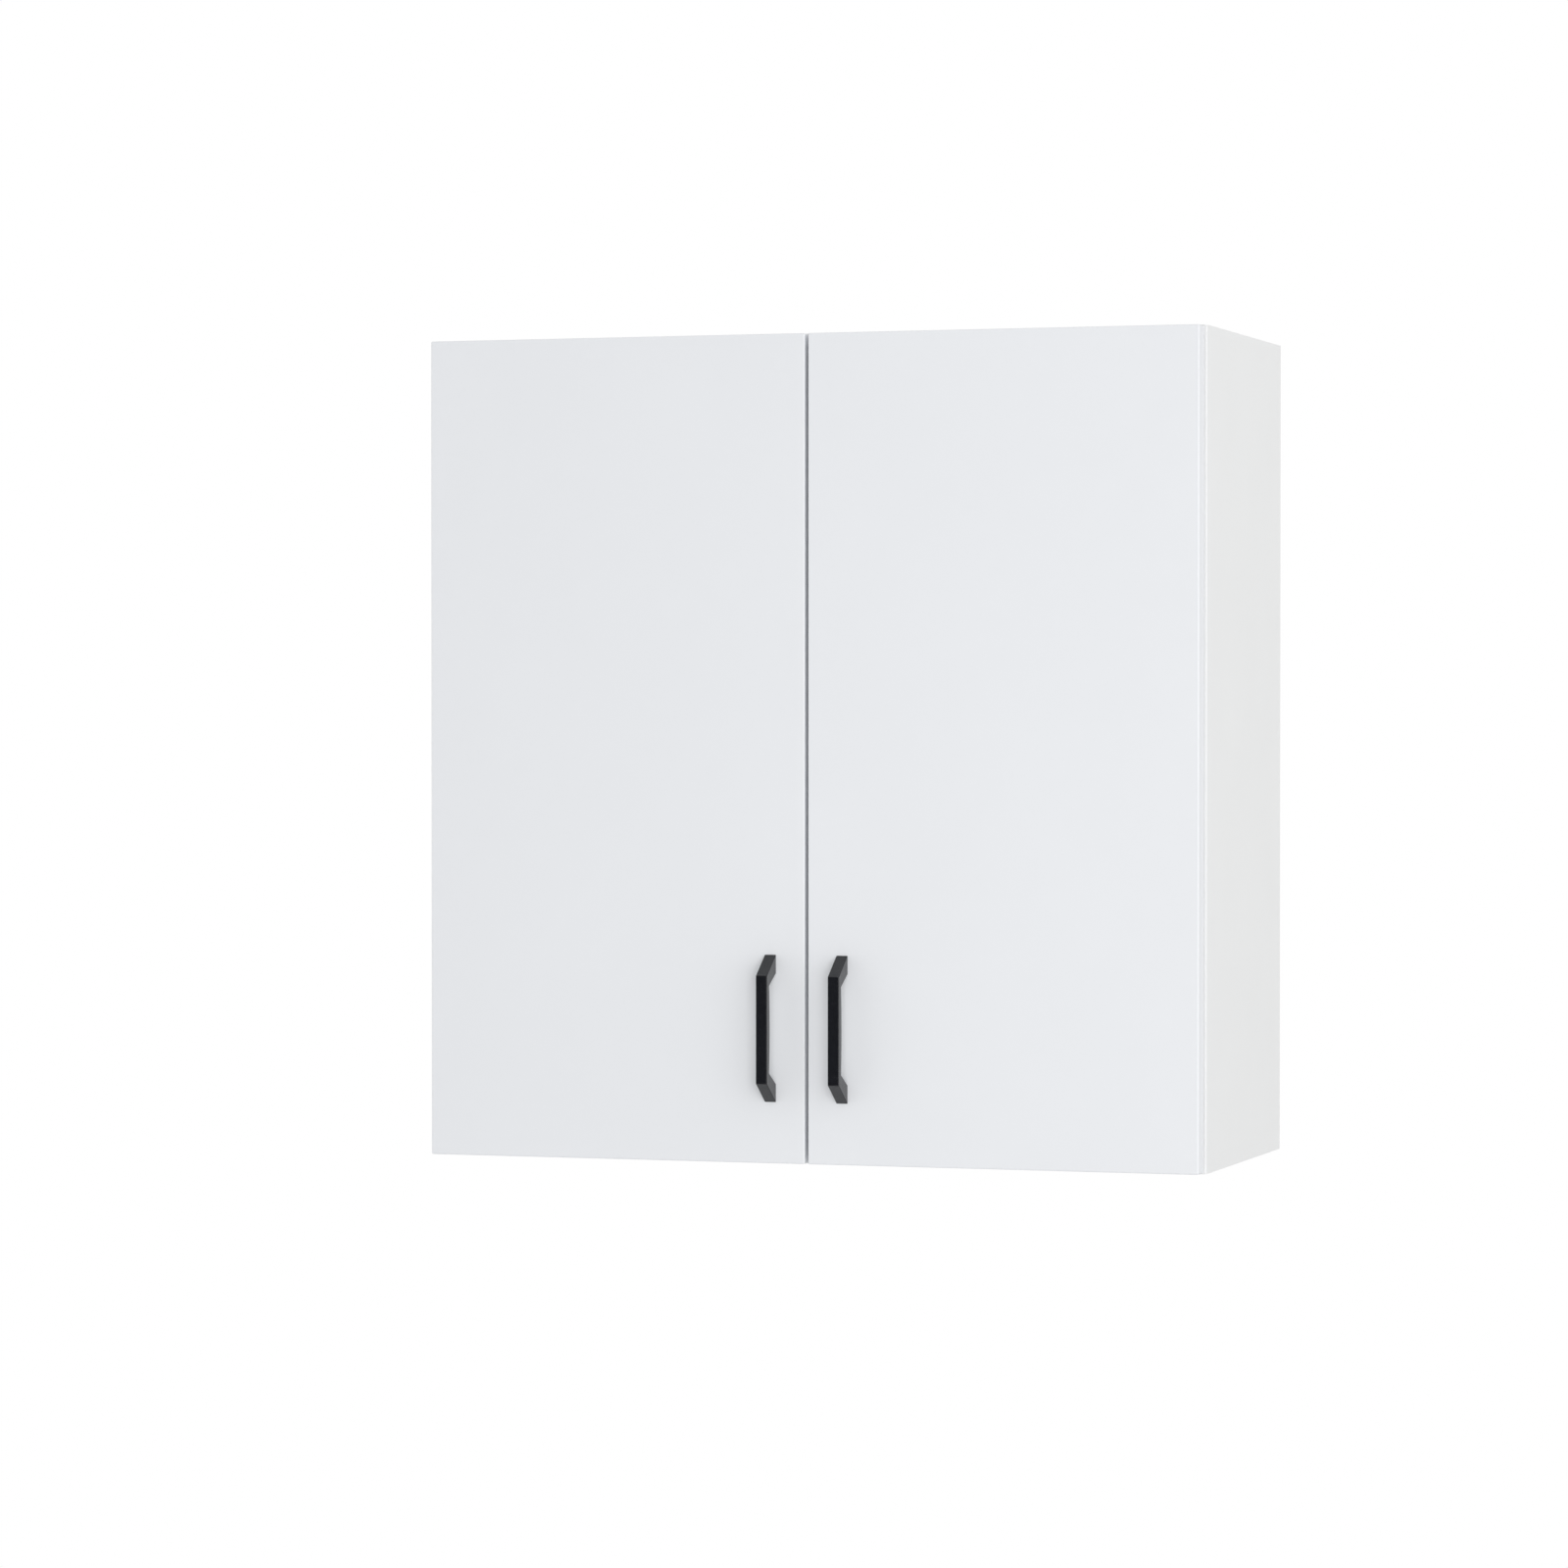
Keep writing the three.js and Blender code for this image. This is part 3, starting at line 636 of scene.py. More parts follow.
def make_end_panel(end):
    node = f"{end}_panel"
    low, high = box(node)
    inner, outer, outward = (low.z, high.z, 1) if end == "top" else (high.z, low.z, -1)
    panel = make_object(f"{end}_board", block_of(low, high), [MELAMINE, BAND, RAW])
    tools = bmesh.new()
    groove_block(
        tools, (low.x - PAST, high.x + PAST),
        (inner - outward * PAST, inner + outward * GROOVE_DEPTH),
    )
    for side_name in SIDES:
        for row in ROWS:
            middle = centre(f"cam_lock_{end}_{side_name}_{row}")
            start = raised(middle, outer + outward * PAST)
            add_rod(tools, start, raised(middle, outer - outward * CAM_BORE_DEPTH), CAM_BORE_RADIUS)
    combine(panel, tools)
    paint_faces(panel, pick_board_slot("z"))
    soften(panel, PANEL_EDGE_RADIUS)
    place(panel, "cabinet", "white_board", node)


def make_shelf(name):
    node = f"{name}_shelf"
    shelf = make_object(f"{name}_shelf_board", block_of(*box(node)), [MELAMINE, BAND, RAW])
    paint_faces(shelf, pick_board_slot("z"))
    soften(shelf, SHELF_EDGE_RADIUS, 3)
    place(shelf, "cabinet", "white_board", node)


def make_back_panel():
    panel = make_object("back_sheet", block_of(BACK_LOW, BACK_HIGH), [BACK_WHITE, BACK_BROWN])
    tools = bmesh.new()
    for side_name in SIDES:
        middle = centre(f"{side_name}_hanger_bracket")
        start = (middle.x, BACK_LOW.y - PAST, middle.z)
        add_rod(tools, start, (middle.x, BACK_HIGH.y + PAST, middle.z), BACK_HOLE_RADIUS)
    combine(panel, tools)
    paint_faces(panel, lambda normal, middle: 0 if normal.y < -ALIGNED else 1)
    soften(panel, BACK_EDGE_RADIUS)
    place(panel, "cabinet", "white_back", "back_panel")


for side_name, side in SIDES.items():
    make_side_panel(side_name, side)
for end in ("top", "bottom"):
    make_end_panel(end)
for shelf_name in ("lower", "upper"):
    make_shelf(shelf_name)
make_back_panel()

# -------- doors

DOOR_EDGE_RADIUS = 3 * MM
DOOR_CORNER_RADIUS = 1.2 * MM
DOOR_REAR_RADIUS = 0.5 * MM
DOOR_RIM = 2 * MM
CUP_BORE_RADIUS = 17.75 * MM
CUP_BORE_DEPTH = 12.1 * MM
CUP_SCREW_INWARD = 9.5 * MM
CUP_SCREW_REACH = 23.5 * MM
HANDLE_HOLE_RADIUS = 2.5 * MM
PILOT_RADIUS = 1.7 * MM
PILOT_DEPTH = 10 * MM


def bore_door(mesh, x, z, depth, radius, steps):
    """Adds a cutter for a hole of the given depth into the door's inner face."""
    add_rod(mesh, (x, DOOR_REAR + PAST, z), (x, DOOR_REAR - depth, z), radius, steps)


def cup_screw_places(side, cup):
    """Centres, in x and z, of the two screws through the wings of a hinge cup."""
    x = cup.x - side * CUP_SCREW_INWARD
    return [(x, cup.z + CUP_SCREW_REACH), (x, cup.z - CUP_SCREW_REACH)]


def edges_where(mesh, test):
    return [edge for edge in mesh.edges if test(*(vert.co for vert in edge.verts))]


def bevel_edges(mesh, edges, radius, segments):
    bmesh.ops.bevel(
        mesh, geom=edges, offset=radius, offset_type="OFFSET", segments=segments,
        profile=0.5, affect="EDGES", clamp_overlap=True,
    )


def make_door(side_name, side):
    node = f"{side_name}_door"
    low, high = box(node)
    mesh = block_of(low, high)
    across = edges_where(mesh, lambda a, b: abs(a.y - b.y) > NEAR)
    bevel_edges(mesh, across, DOOR_CORNER_RADIUS, segments=4)
    for y, radius, segments in ((low.y, DOOR_EDGE_RADIUS, 8), (high.y, DOOR_REAR_RADIUS, 2)):
        around = edges_where(mesh, lambda a, b: max(abs(a.y - y), abs(b.y - y)) < NEAR)
        bevel_edges(mesh, around, radius, segments)
    door = make_object(f"{side_name}_door_slab", mesh, [FOIL, MELAMINE, RAW])
    tools = bmesh.new()
    for level in LEVELS:
        cup = centre(f"{side_name}_hinge_{level}_cup")
        bore_door(tools, cup.x, cup.z, CUP_BORE_DEPTH, CUP_BORE_RADIUS, 64)
        for x, z in cup_screw_places(side, cup):
            bore_door(tools, x, z, PILOT_DEPTH, PILOT_RADIUS, 16)
        screw = centre(f"{side_name}_handle_screw_{level}")
        through = DOOR_REAR - DOOR_FRONT + PAST
        bore_door(tools, screw.x, screw.z, through, HANDLE_HOLE_RADIUS, 24)
    combine(door, tools)

    def pick(normal, middle):
        """Melamine on the inner face, bare board in the bores and foil on the rest."""
        inside = DOOR_FRONT + MM < middle.y < DOOR_REAR - MM
        from_edges = (middle.x - low.x, high.x - middle.x, middle.z - low.z, high.z - middle.z)
        if normal.y > ALIGNED and not inside:
            return 1
        return 2 if inside and min(from_edges) >= DOOR_RIM else 0

    paint_faces(door, pick)
    shade(door, SHARP_ANGLE)
    place(door, f"{side_name}_door", "white_door", node)


for side_name, side in SIDES.items():
    make_door(side_name, side)

# -------- handles

HANDLE_FRONT_LENGTH = 93.4 * MM
HANDLE_FOOT = 16 * MM
HANDLE_BAR_END = 6.2 * MM
HANDLE_BAR_MIDDLE = 7.6 * MM
HANDLE_INNER_LENGTH = 75.4 * MM
HANDLE_EDGE_RADIUS = 0.5 * MM
HANDLE_SHARP_ANGLE = 15
BOW_STEPS = 16


def bow_points(inner_half, bar_back, swell):
    """The bar's back, swelling towards the door in one shallow curve."""
    for step in range(BOW_STEPS + 1):
        t = step / BOW_STEPS
        yield inner_half * (2 * t - 1), bar_back - 4 * swell * t * (1 - t)


def make_handle(side_name):
    node = f"{side_name}_handle"
    low, high = box(node)
    middle_z = (low.z + high.z) / 2
    half = (high.z - low.z) / 2
    projection = high.y - low.y
    bar_back = projection - HANDLE_BAR_END
    swell = HANDLE_BAR_MIDDLE - HANDLE_BAR_END
    profile = [
        (-half, 0),
        (-half + HANDLE_FOOT, 0),
        *bow_points(HANDLE_INNER_LENGTH / 2, bar_back, swell),
        (half - HANDLE_FOOT, 0),
        (half, 0),
        (HANDLE_FRONT_LENGTH / 2, projection),
        (-HANDLE_FRONT_LENGTH / 2, projection),
    ]
    outline = [Vector((low.x, high.y - out, middle_z + along)) for along, out in profile]
    body = solid_of(outline, Vector((high.x - low.x, 0, 0)))
    handle = make_object(f"{side_name}_bow_handle", body, [BLACK])
    soften(handle, HANDLE_EDGE_RADIUS, 4, HANDLE_SHARP_ANGLE)
    place(handle, f"{side_name}_door", "black_handle", node)


for side_name in SIDES:
    make_handle(side_name)

# -------- round fittings

HANDLE_SCREW = {"shank": 1.95 * MM, "head": 2.2 * MM, "rim": 0.5 * MM, "soft": 0.1 * MM}
HANDLE_SCREW_POINT = (0.4 * MM, 0.5 * MM)
HANDLE_SCREW_RECESS = (1.3 * MM, 2 * MM, 0.8 * MM)
BUMPER_RIM = 0.3 * MM
PIN_SHANK = 2.45 * MM
PIN_COLLAR = 3.9 * MM
PIN_COLLAR_WIDTH = 0.9 * MM
PIN_IN_HOLE = 8.3 * MM
PIN_ROUNDINGS = (0.5 * MM, 0.6 * MM, 0.2 * MM)
CAM_RADIUS = 7.2 * MM
CAM_LIP = (0.4 * MM, 1.3 * MM, 1.5 * MM)
CAM_SOFTNESS = 0.15 * MM
CAM_RECESS = (3 * MM, 3.6 * MM, 1.7 * MM)
WOOD_SCREW = {"shank": 1.4 * MM, "radius": 3.4 * MM, "head": 1.3 * MM, "rim": 0.3 * MM}
WOOD_SCREW_POINT = (0.6, 2.5 * MM, 3 * MM)
WOOD_SCREW_RECESS = (0.8 * MM, 1.7 * MM, 0.7 * MM)
SMALL_SOFTNESS = 0.08 * MM


def cross_recess(mesh, place_at, axis, depth, reach, width):
    """Adds a cross-shaped cutter whose depth runs both ways through place_at along the axis."""
    units = {name: Vector([float(index == AXES[name]) for index in range(3)]) for name in AXES}
    along = units.pop(axis)
    first, second = units.values()
    half = width / 2
    outline = []
    for cos, sin in ((1, 0), (0, 1), (-1, 0), (0, -1)):
        for a, b in ((reach, -half), (reach, half), (half, half)):
            corner = (a * cos - b * sin) * first + (a * sin + b * cos) * second
            outline.append(Vector(place_at) + corner - depth * along)
    add_prism(mesh, outline, 2 * depth * along)


def domed(radius, base, rim, height, steps=5):
    """Profile of a head: from its seat at base up a straight rim and over a shallow dome."""
    turns = [math.pi / 2 * step / steps for step in range(steps + 1)]
    return [(radius, base)] + [
        (radius * math.cos(turn), base + rim + (height - rim) * math.sin(turn)) for turn in turns
    ]


def make_driven(name, turned, top, recess, material, segments, softness):
    """A turned fitting with a cross recess; turned is what add_turned takes after the mesh."""
    mesh = bmesh.new()
    add_turned(mesh, *turned)
    fitting = make_object(name, mesh, [material])
    tools = bmesh.new()
    cross_recess(tools, top, turned[2], *recess)
    combine(fitting, tools)
    soften(fitting, softness, segments)
    return fitting


def make_handle_screw(side_name, level):
    node = f"{side_name}_handle_screw_{level}"
    low, high = box(node)
    middle = (low + high) / 2
    radius = (high.x - low.x) / 2
    seat = high.y - low.y - HANDLE_SCREW["head"]
    shank = HANDLE_SCREW["shank"]
    taper, point = HANDLE_SCREW_POINT
    profile = [
        (0, 0), (shank - taper, 0), (shank, point), (shank, seat),
        *domed(radius, seat, HANDLE_SCREW["rim"], HANDLE_SCREW["head"]),
    ]
    screw = make_driven(
        f"{side_name}_handle_fixing_{level}", (profile, (middle.x, low.y, middle.z), "y"),
        (middle.x, high.y, middle.z), HANDLE_SCREW_RECESS, SCREW, 1, HANDLE_SCREW["soft"],
    )
    place(screw, f"{side_name}_door", "nickel", node)


def make_bumper(side_name, level):
    node = f"{side_name}_door_bumper_{level}"
    low, high = box(node)
    middle = (low + high) / 2
    radius = (high.x - low.x) / 2
    profile = [(0, 0), *domed(radius, 0, BUMPER_RIM, high.y - low.y, 8)]
    mesh = bmesh.new()
    add_turned(mesh, profile, (middle.x, low.y, middle.z), "y")
    pad = make_object(f"{side_name}_door_pad_{level}", mesh, [CLEAR])
    shade(pad, SHARP_ANGLE)
    place(pad, f"{side_name}_door", "clear_bumper", node)


def make_shelf_pin(node, side):
    low, high = box(node)
    middle = (low + high) / 2
    length = high.x - low.x
    collar_end = PIN_IN_HOLE + PIN_COLLAR_WIDTH
    bevel, point, edge = PIN_ROUNDINGS
    profile = [
        (0, 0), (PIN_SHANK - bevel, 0), (PIN_SHANK, point), (PIN_SHANK, PIN_IN_HOLE),
        (PIN_COLLAR - edge, PIN_IN_HOLE), (PIN_COLLAR, PIN_IN_HOLE + edge),
        (PIN_COLLAR, collar_end - edge), (PIN_COLLAR - edge, collar_end),
        (PIN_SHANK, collar_end), (PIN_SHANK, length - bevel), (PIN_SHANK - bevel, length),
        (0, length),
    ]
    start = high.x if side > 0 else low.x
    mesh = bmesh.new()
    add_turned(mesh, profile, (start, middle.y, middle.z), "x", -side)
    pin = make_object(node.replace("shelf_pin", "support_peg"), mesh, [NICKEL])
    shade(pin)
    place(pin, "cabinet", "nickel", node)


def make_cam(end, side_name, row):
    node = f"cam_lock_{end}_{side_name}_{row}"
    low, high = box(node)
    middle = (low + high) / 2
    depth = high.z - low.z
    sunk, lip_top, lip_foot = CAM_LIP
    profile = [
        (0, 0), (CAM_RADIUS, 0), (CAM_RADIUS, depth - sunk), (CAM_RADIUS - sunk, depth),
        (CAM_RADIUS - lip_top, depth), (CAM_RADIUS - lip_foot, depth - sunk), (0, depth - sunk),
    ]
    inner, outer, outward = (low.z, high.z, 1) if end == "top" else (high.z, low.z, -1)
    cam = make_driven(
        f"knock_down_cam_{end}_{side_name}_{row}",
        (profile, raised(middle, inner), "z", outward, 48),
        raised(middle, outer), CAM_RECESS, ZINC, 2, CAM_SOFTNESS,
    )
    place(cam, "cabinet", "zinc", node)


def make_wood_screw(name, head_at, axis, direction, length, body):
    """A small pan-head screw: head_at is its seat, and it points away from direction."""
    shank = WOOD_SCREW["shank"]
    share, cone, point = WOOD_SCREW_POINT
    profile = [
        (0, 0), (shank * share, cone), (shank, point), (shank, length),
        *domed(WOOD_SCREW["radius"], length, WOOD_SCREW["rim"], WOOD_SCREW["head"]),
    ]
    along = Vector((0, 0, 0))
    along[AXES[axis]] = direction
    screw = make_driven(
        name, (profile, Vector(head_at) - along * length, axis, direction, 28),
        Vector(head_at) + along * WOOD_SCREW["head"], WOOD_SCREW_RECESS, SCREW, 1, SMALL_SOFTNESS,
    )
    place(screw, body, "nickel")


for side_name, side in SIDES.items():
    for level in LEVELS:
        make_handle_screw(side_name, level)
        make_bumper(side_name, level)
    for pin in pin_nodes(side_name):
        make_shelf_pin(pin, side)
    for end in ("top", "bottom"):
        for row in ROWS:
            make_cam(end, side_name, row)

# -------- concealed hinges

CUP_RADIUS = 17.5 * MM
CUP_FLANGE_RADIUS = 18.5 * MM
CUP_WALL = 1 * MM
CUP_FLOOR_AHEAD = 13.8 * MM
CUP_PLATE_AHEAD = (0.8 * MM, 1.7 * MM)
CUP_CHEEK = (6.2 * MM, 7.4 * MM)
CUP_CHEEK_HALF = 14.8 * MM
CUP_CHEEK_TOP_AHEAD = 3.4 * MM
CUP_CORNER = 2 * MM
CUP_ROUNDINGS = (0.6 * MM, 0.2 * MM, 0.3 * MM)
CUP_STEPS = 72
CUP_SEAT_RADIUS = 2.2 * MM
WING_INWARD = (4 * MM, 15 * MM)
HINGE_PIN_RADIUS = 1.25 * MM
PIN_PAST_CHEEK = 0.5 * MM
PIN_PAST_ARM = 0.2 * MM
LOOSE_PIN_GAP = 0.3 * MM
LINK_HOLE_PLAY = 0.2 * MM
LINK_EYE_RADIUS = 2.6 * MM
LINK_BOW = 7.6 * MM
LINK_HALF = 1 * MM
LINK_STEPS = 16
ARM_NEAR_INWARD = 19.4 * MM
ARM_WEB_INWARD = (30.2 * MM, 31.6 * MM)
ARM_FLANGE = (4.4 * MM, 5.8 * MM)
ARM_REAR = -62 * MM
ARM_WAIST = -14 * MM
ARM_WEB_FRONT = -8 * MM
ARM_EYE_RADIUS = 2.8 * MM
ARM_NOSE = 0.7 * ARM_EYE_RADIUS
ARM_SLOT = {"half": 8 * MM, "radius": 2.2 * MM, "depth": 0.5 * MM}
ADJUSTERS = {"front": -24 * MM, "rear": -50 * MM}
ADJUSTER_RADIUS = 3.5 * MM
ADJUSTER_HEIGHT = 1.5 * MM
ADJUSTER_BEVEL = 0.3 * MM
ADJUSTER_RECESS = (1 * MM, 2.1 * MM, 0.9 * MM)
PLATE_BASE = 2 * MM
PLATE_END_RADIUS = 8 * MM
PLATE_WING_RADIUS = 7 * MM
PLATE_SPINE_HALF = 4.1 * MM
PLATE_SPINE = (-15 * MM, 19 * MM)
PLATE_WINDOW = (-8 * MM, 12 * MM)
PLATE_WINDOW_HALF = 10 * MM
PLATE_WINDOW_LIFT = 2.7 * MM
PLATE_WINDOW_ROOF = 3 * MM
PLATE_SINK = 0.3 * MM
PLATE_SEAT_RADIUS = 2.4 * MM
EDGE_SOFTNESS = 0.18 * MM

JOINTS = {joint["name"]: joint for joint in frame["joints"]}


def joint_place(name):
    return Vector(JOINTS[name]["pos_m"])


def plan(side, inward, ahead, z=0.0):
    """A point given by its distance in from the side's outer face and ahead of the carcass."""
    return Vector((side * (SIDE_FACE - inward), CARCASS_FRONT - ahead, z))


def arc_points(middle, radius, start, end, steps, first, second):
    """Points on an arc in the plane of two unit vectors; angles in degrees."""
    for step in range(steps + 1):
        angle = math.radians(start + (end - start) * step / steps)
        yield middle + radius * (math.cos(angle) * first + math.sin(angle) * second)


def stadium(middle, half_length, radius, along, across, steps=12):
    """Outline of a flat bar with round ends."""
    reach = (half_length - radius) * along
    return [
        *arc_points(middle + reach, radius, 90, -90, steps, along, across),
        *arc_points(middle - reach, radius, 270, 90, steps, along, across),
    ]


def cup_inner_pivot(side_name, side, level):
    """The open pivot: the inner link's eye that the cup's short pin stops just below."""
    low, high = box(f"{side_name}_hinge_{level}_inner_link")
    x = low.x if side < 0 else high.x
    return Vector((x - side * LINK_EYE_RADIUS, high.y - LINK_EYE_RADIUS, 0))


def make_hinge_cup(side_name, side, level):
    node = f"{side_name}_hinge_{level}_cup"
    middle = centre(node)
    z = middle.z
    floor = CARCASS_FRONT - CUP_FLOOR_AHEAD
    rim = CUP_FLOOR_AHEAD - CUP_PLATE_AHEAD[0]
    under = CUP_FLOOR_AHEAD - CUP_PLATE_AHEAD[1]
    inner = CUP_RADIUS - CUP_WALL
    turn, edge, lip = CUP_ROUNDINGS
    profile = [
        (0, 0), (CUP_RADIUS - CUP_CORNER, 0), (CUP_RADIUS - turn, turn), (CUP_RADIUS, CUP_CORNER),
        (CUP_RADIUS, under), (CUP_FLANGE_RADIUS, under), (CUP_FLANGE_RADIUS, rim - edge),
        (CUP_FLANGE_RADIUS - edge, rim), (inner + lip, rim), (inner, rim - lip),
        (inner, CUP_CORNER + CUP_WALL), (inner - turn, turn + CUP_WALL),
        (inner - CUP_CORNER, CUP_WALL), (0, CUP_WALL),
    ]
    mesh = bmesh.new()
    add_turned(mesh, profile, (middle.x, floor, z), "y", steps=CUP_STEPS)
    cup = make_object(f"{side_name}_{level}_cup_bowl", mesh, [NICKEL])
    y_near, y_far = (CARCASS_FRONT - ahead for ahead in CUP_PLATE_AHEAD)
    wing_middle = Vector((middle.x - side * sum(WING_INWARD) / 2, y_near, z))
    wing_radius = (WING_INWARD[1] - WING_INWARD[0]) / 2
    wing_half = (box(node)[1].z - box(node)[0].z) / 2
    outline = stadium(wing_middle, wing_half, wing_radius, Vector((0, 0, 1)), Vector((1, 0, 0)))
    wing = make_object("wing", solid_of(outline, Vector((0, y_far - y_near, 0))), [NICKEL])
    holes = [(middle.x, z, inner + CUP_WALL / 2, CUP_STEPS)]
    holes += [(x, at, CUP_SEAT_RADIUS, 24) for x, at in cup_screw_places(side, middle)]
    cut_all(wing, [
        rod_of((x, y_near + PAST, at), (x, y_far - PAST, at), radius, steps)
        for x, at, radius, steps in holes
    ])
    wing_mesh = bmesh.new()
    wing_mesh.from_mesh(wing.data)
    bpy.data.objects.remove(wing)
    cheeks = [
        block_of(
            (middle.x - CUP_CHEEK_HALF, CARCASS_FRONT - CUP_CHEEK_TOP_AHEAD, z + up * CUP_CHEEK[0]),
            (middle.x + CUP_CHEEK_HALF, floor + turn, z + up * CUP_CHEEK[1]),
        )
        for up in (1, -1)
    ]
    outer = joint_place(f"{side_name}_door_swing")
    loose = cup_inner_pivot(side_name, side, level)
    link_low = box(f"{side_name}_hinge_{level}_inner_link")[0].z
    pin_end = CUP_CHEEK[0] + PIN_PAST_CHEEK
    pins = [
        rod_of(raised(pivot, start), raised(pivot, end), HINGE_PIN_RADIUS)
        for pivot, start, end in (
            (outer, z, z + pin_end), (loose, z - pin_end, link_low - LOOSE_PIN_GAP),
        )
    ]
    join_all(cup, [wing_mesh, *cheeks, *pins])
    soften(cup, EDGE_SOFTNESS)
    place(cup, f"{side_name}_door", "nickel", node)
    for number, (x, screw_z) in enumerate(cup_screw_places(side, middle), 1):
        name = f"{side_name}_{level}_cup_screw_{number}"
        make_wood_screw(name, (x, y_near, screw_z), "y", 1, PILOT_DEPTH - MM, f"{side_name}_door")


def curve_between(start, end, bow, steps):
    """Points and their sideways unit vectors along a shallow bow from start to end."""
    along = (end - start).normalized()
    across = Vector((-along.y, along.x, 0))
    middle = (start + end) / 2 + across * 2 * bow
    for step in range(steps + 1):
        t = step / steps
        point = start * (1 - t) ** 2 + middle * 2 * t * (1 - t) + end * t * t
        tangent = (middle - start) * (1 - t) + (end - middle) * t
        tangent.normalize()
        yield point, Vector((-tangent.y, tangent.x, 0))


def eye_arc(pivot, toward, steps=30):
    """Outline of a link's round eye, from one side of its strip round to the other."""
    along = (toward - pivot).normalized()
    across = Vector((-along.y, along.x, 0))
    opening = math.degrees(math.asin(LINK_HALF / LINK_EYE_RADIUS))
    return arc_points(pivot, LINK_EYE_RADIUS, opening, 360 - opening, steps, along, across)


def make_link(side_name, level, kind, ends, bow, bored):
    """A pressed link: a strip with a round eye about each end, some of them bored."""
    node = f"{side_name}_hinge_{level}_{kind}_link"
    low, high = box(node)
    rise = Vector((0, 0, high.z - low.z))
    start, end = (raised(pivot, low.z) for pivot in ends)
    strip = [
        (point, across * LINK_HALF) for point, across in curve_between(start, end, bow, LINK_STEPS)
        if min((point - start).length, (point - end).length) > LINK_EYE_RADIUS
    ]
    outline = [point - aside for point, aside in strip]
    outline += eye_arc(end, strip[-1][0])
    outline += [point + aside for point, aside in reversed(strip)]
    outline += eye_arc(start, strip[0][0])
    link = make_object(f"{side_name}_{level}_{kind}_arm_link", solid_of(outline, rise), [NICKEL])
    bore = HINGE_PIN_RADIUS + LINK_HOLE_PLAY
    cut_all(link, [
        rod_of(raised(pivot, low.z - PAST), raised(pivot, high.z + PAST), bore, 28)
        for pivot in bored
    ])
    soften(link, EDGE_SOFTNESS)
    place(link, f"{side_name}_{kind}_links", "nickel", node)


def make_hinge_arm(side_name, side, level):
    node = f"{side_name}_hinge_{level}_arm"
    z = centre(node).z
    outer = joint_place(f"{side_name}_outer_link_turn")
    inner = joint_place(f"{side_name}_inner_link_turn")
    outer_inward = SIDE_FACE - abs(outer.x)
    inner_inward = SIDE_FACE - abs(inner.x)
    corners = [
        plan(side, ARM_NEAR_INWARD, ARM_REAR),
        plan(side, ARM_NEAR_INWARD, ARM_WAIST),
        plan(side, outer_inward - ARM_EYE_RADIUS, CARCASS_FRONT - outer.y),
        plan(side, inner_inward - ARM_NOSE, CARCASS_FRONT - inner.y + ARM_NOSE),
        plan(side, inner_inward + ARM_EYE_RADIUS, CARCASS_FRONT - inner.y),
        plan(side, ARM_WEB_INWARD[1], ARM_WEB_FRONT),
        plan(side, ARM_WEB_INWARD[1], ARM_REAR),
    ]
    thickness = Vector((0, 0, ARM_FLANGE[1] - ARM_FLANGE[0]))
    web = block_of(
        plan(side, ARM_WEB_INWARD[0], ARM_REAR, z - ARM_FLANGE[1]),
        plan(side, ARM_WEB_INWARD[1], ARM_WEB_FRONT, z + ARM_FLANGE[1]),
    )
    arm = make_object(f"{side_name}_{level}_channel_arm", web, [NICKEL])
    for base in (z + ARM_FLANGE[0], z - ARM_FLANGE[1]):
        flange = solid_of([raised(corner, base) for corner in corners], thickness)
        join_all(arm, [flange] + [
            rod_of(raised(pivot, base), raised(pivot, base) + thickness, ARM_EYE_RADIUS, 36)
            for pivot in (outer, inner)
        ])
    pin_end = ARM_FLANGE[1] + PIN_PAST_ARM
    join_all(arm, [
        rod_of(raised(outer, z), raised(outer, z + pin_end), HINGE_PIN_RADIUS),
        rod_of(raised(inner, z - pin_end), raised(inner, z), HINGE_PIN_RADIUS),
    ])
    web_face = plan(side, ARM_WEB_INWARD[1], sum(ADJUSTERS.values()) / 2, z)
    slot = stadium(
        web_face, ARM_SLOT["half"], ARM_SLOT["radius"], Vector((0, 1, 0)), Vector((0, 0, 1)),
    )
    cut_all(arm, [solid_of(slot, Vector((side * ARM_SLOT["depth"], 0, 0)))])
    soften(arm, EDGE_SOFTNESS)
    place(arm, "cabinet", "nickel", node)
    for row, ahead in ADJUSTERS.items():
        name = f"{side_name}_{level}_adjuster_{row}"
        make_adjuster(name, plan(side, ARM_WEB_INWARD[1], ahead, z), side)


def make_adjuster(name, seat, side):
    """Adjusting screw in the arm's web, with a cross recess."""
    profile = [
        (0, 0), (ADJUSTER_RADIUS, 0), (ADJUSTER_RADIUS, ADJUSTER_HEIGHT - ADJUSTER_BEVEL),
        (ADJUSTER_RADIUS - ADJUSTER_BEVEL, ADJUSTER_HEIGHT), (0, ADJUSTER_HEIGHT),
    ]
    screw = make_driven(
        name, (profile, seat, "x", -side, 36), seat - Vector((side * ADJUSTER_HEIGHT, 0, 0)),
        ADJUSTER_RECESS, SCREW, 1, SMALL_SOFTNESS,
    )
    place(screw, "cabinet", "nickel")


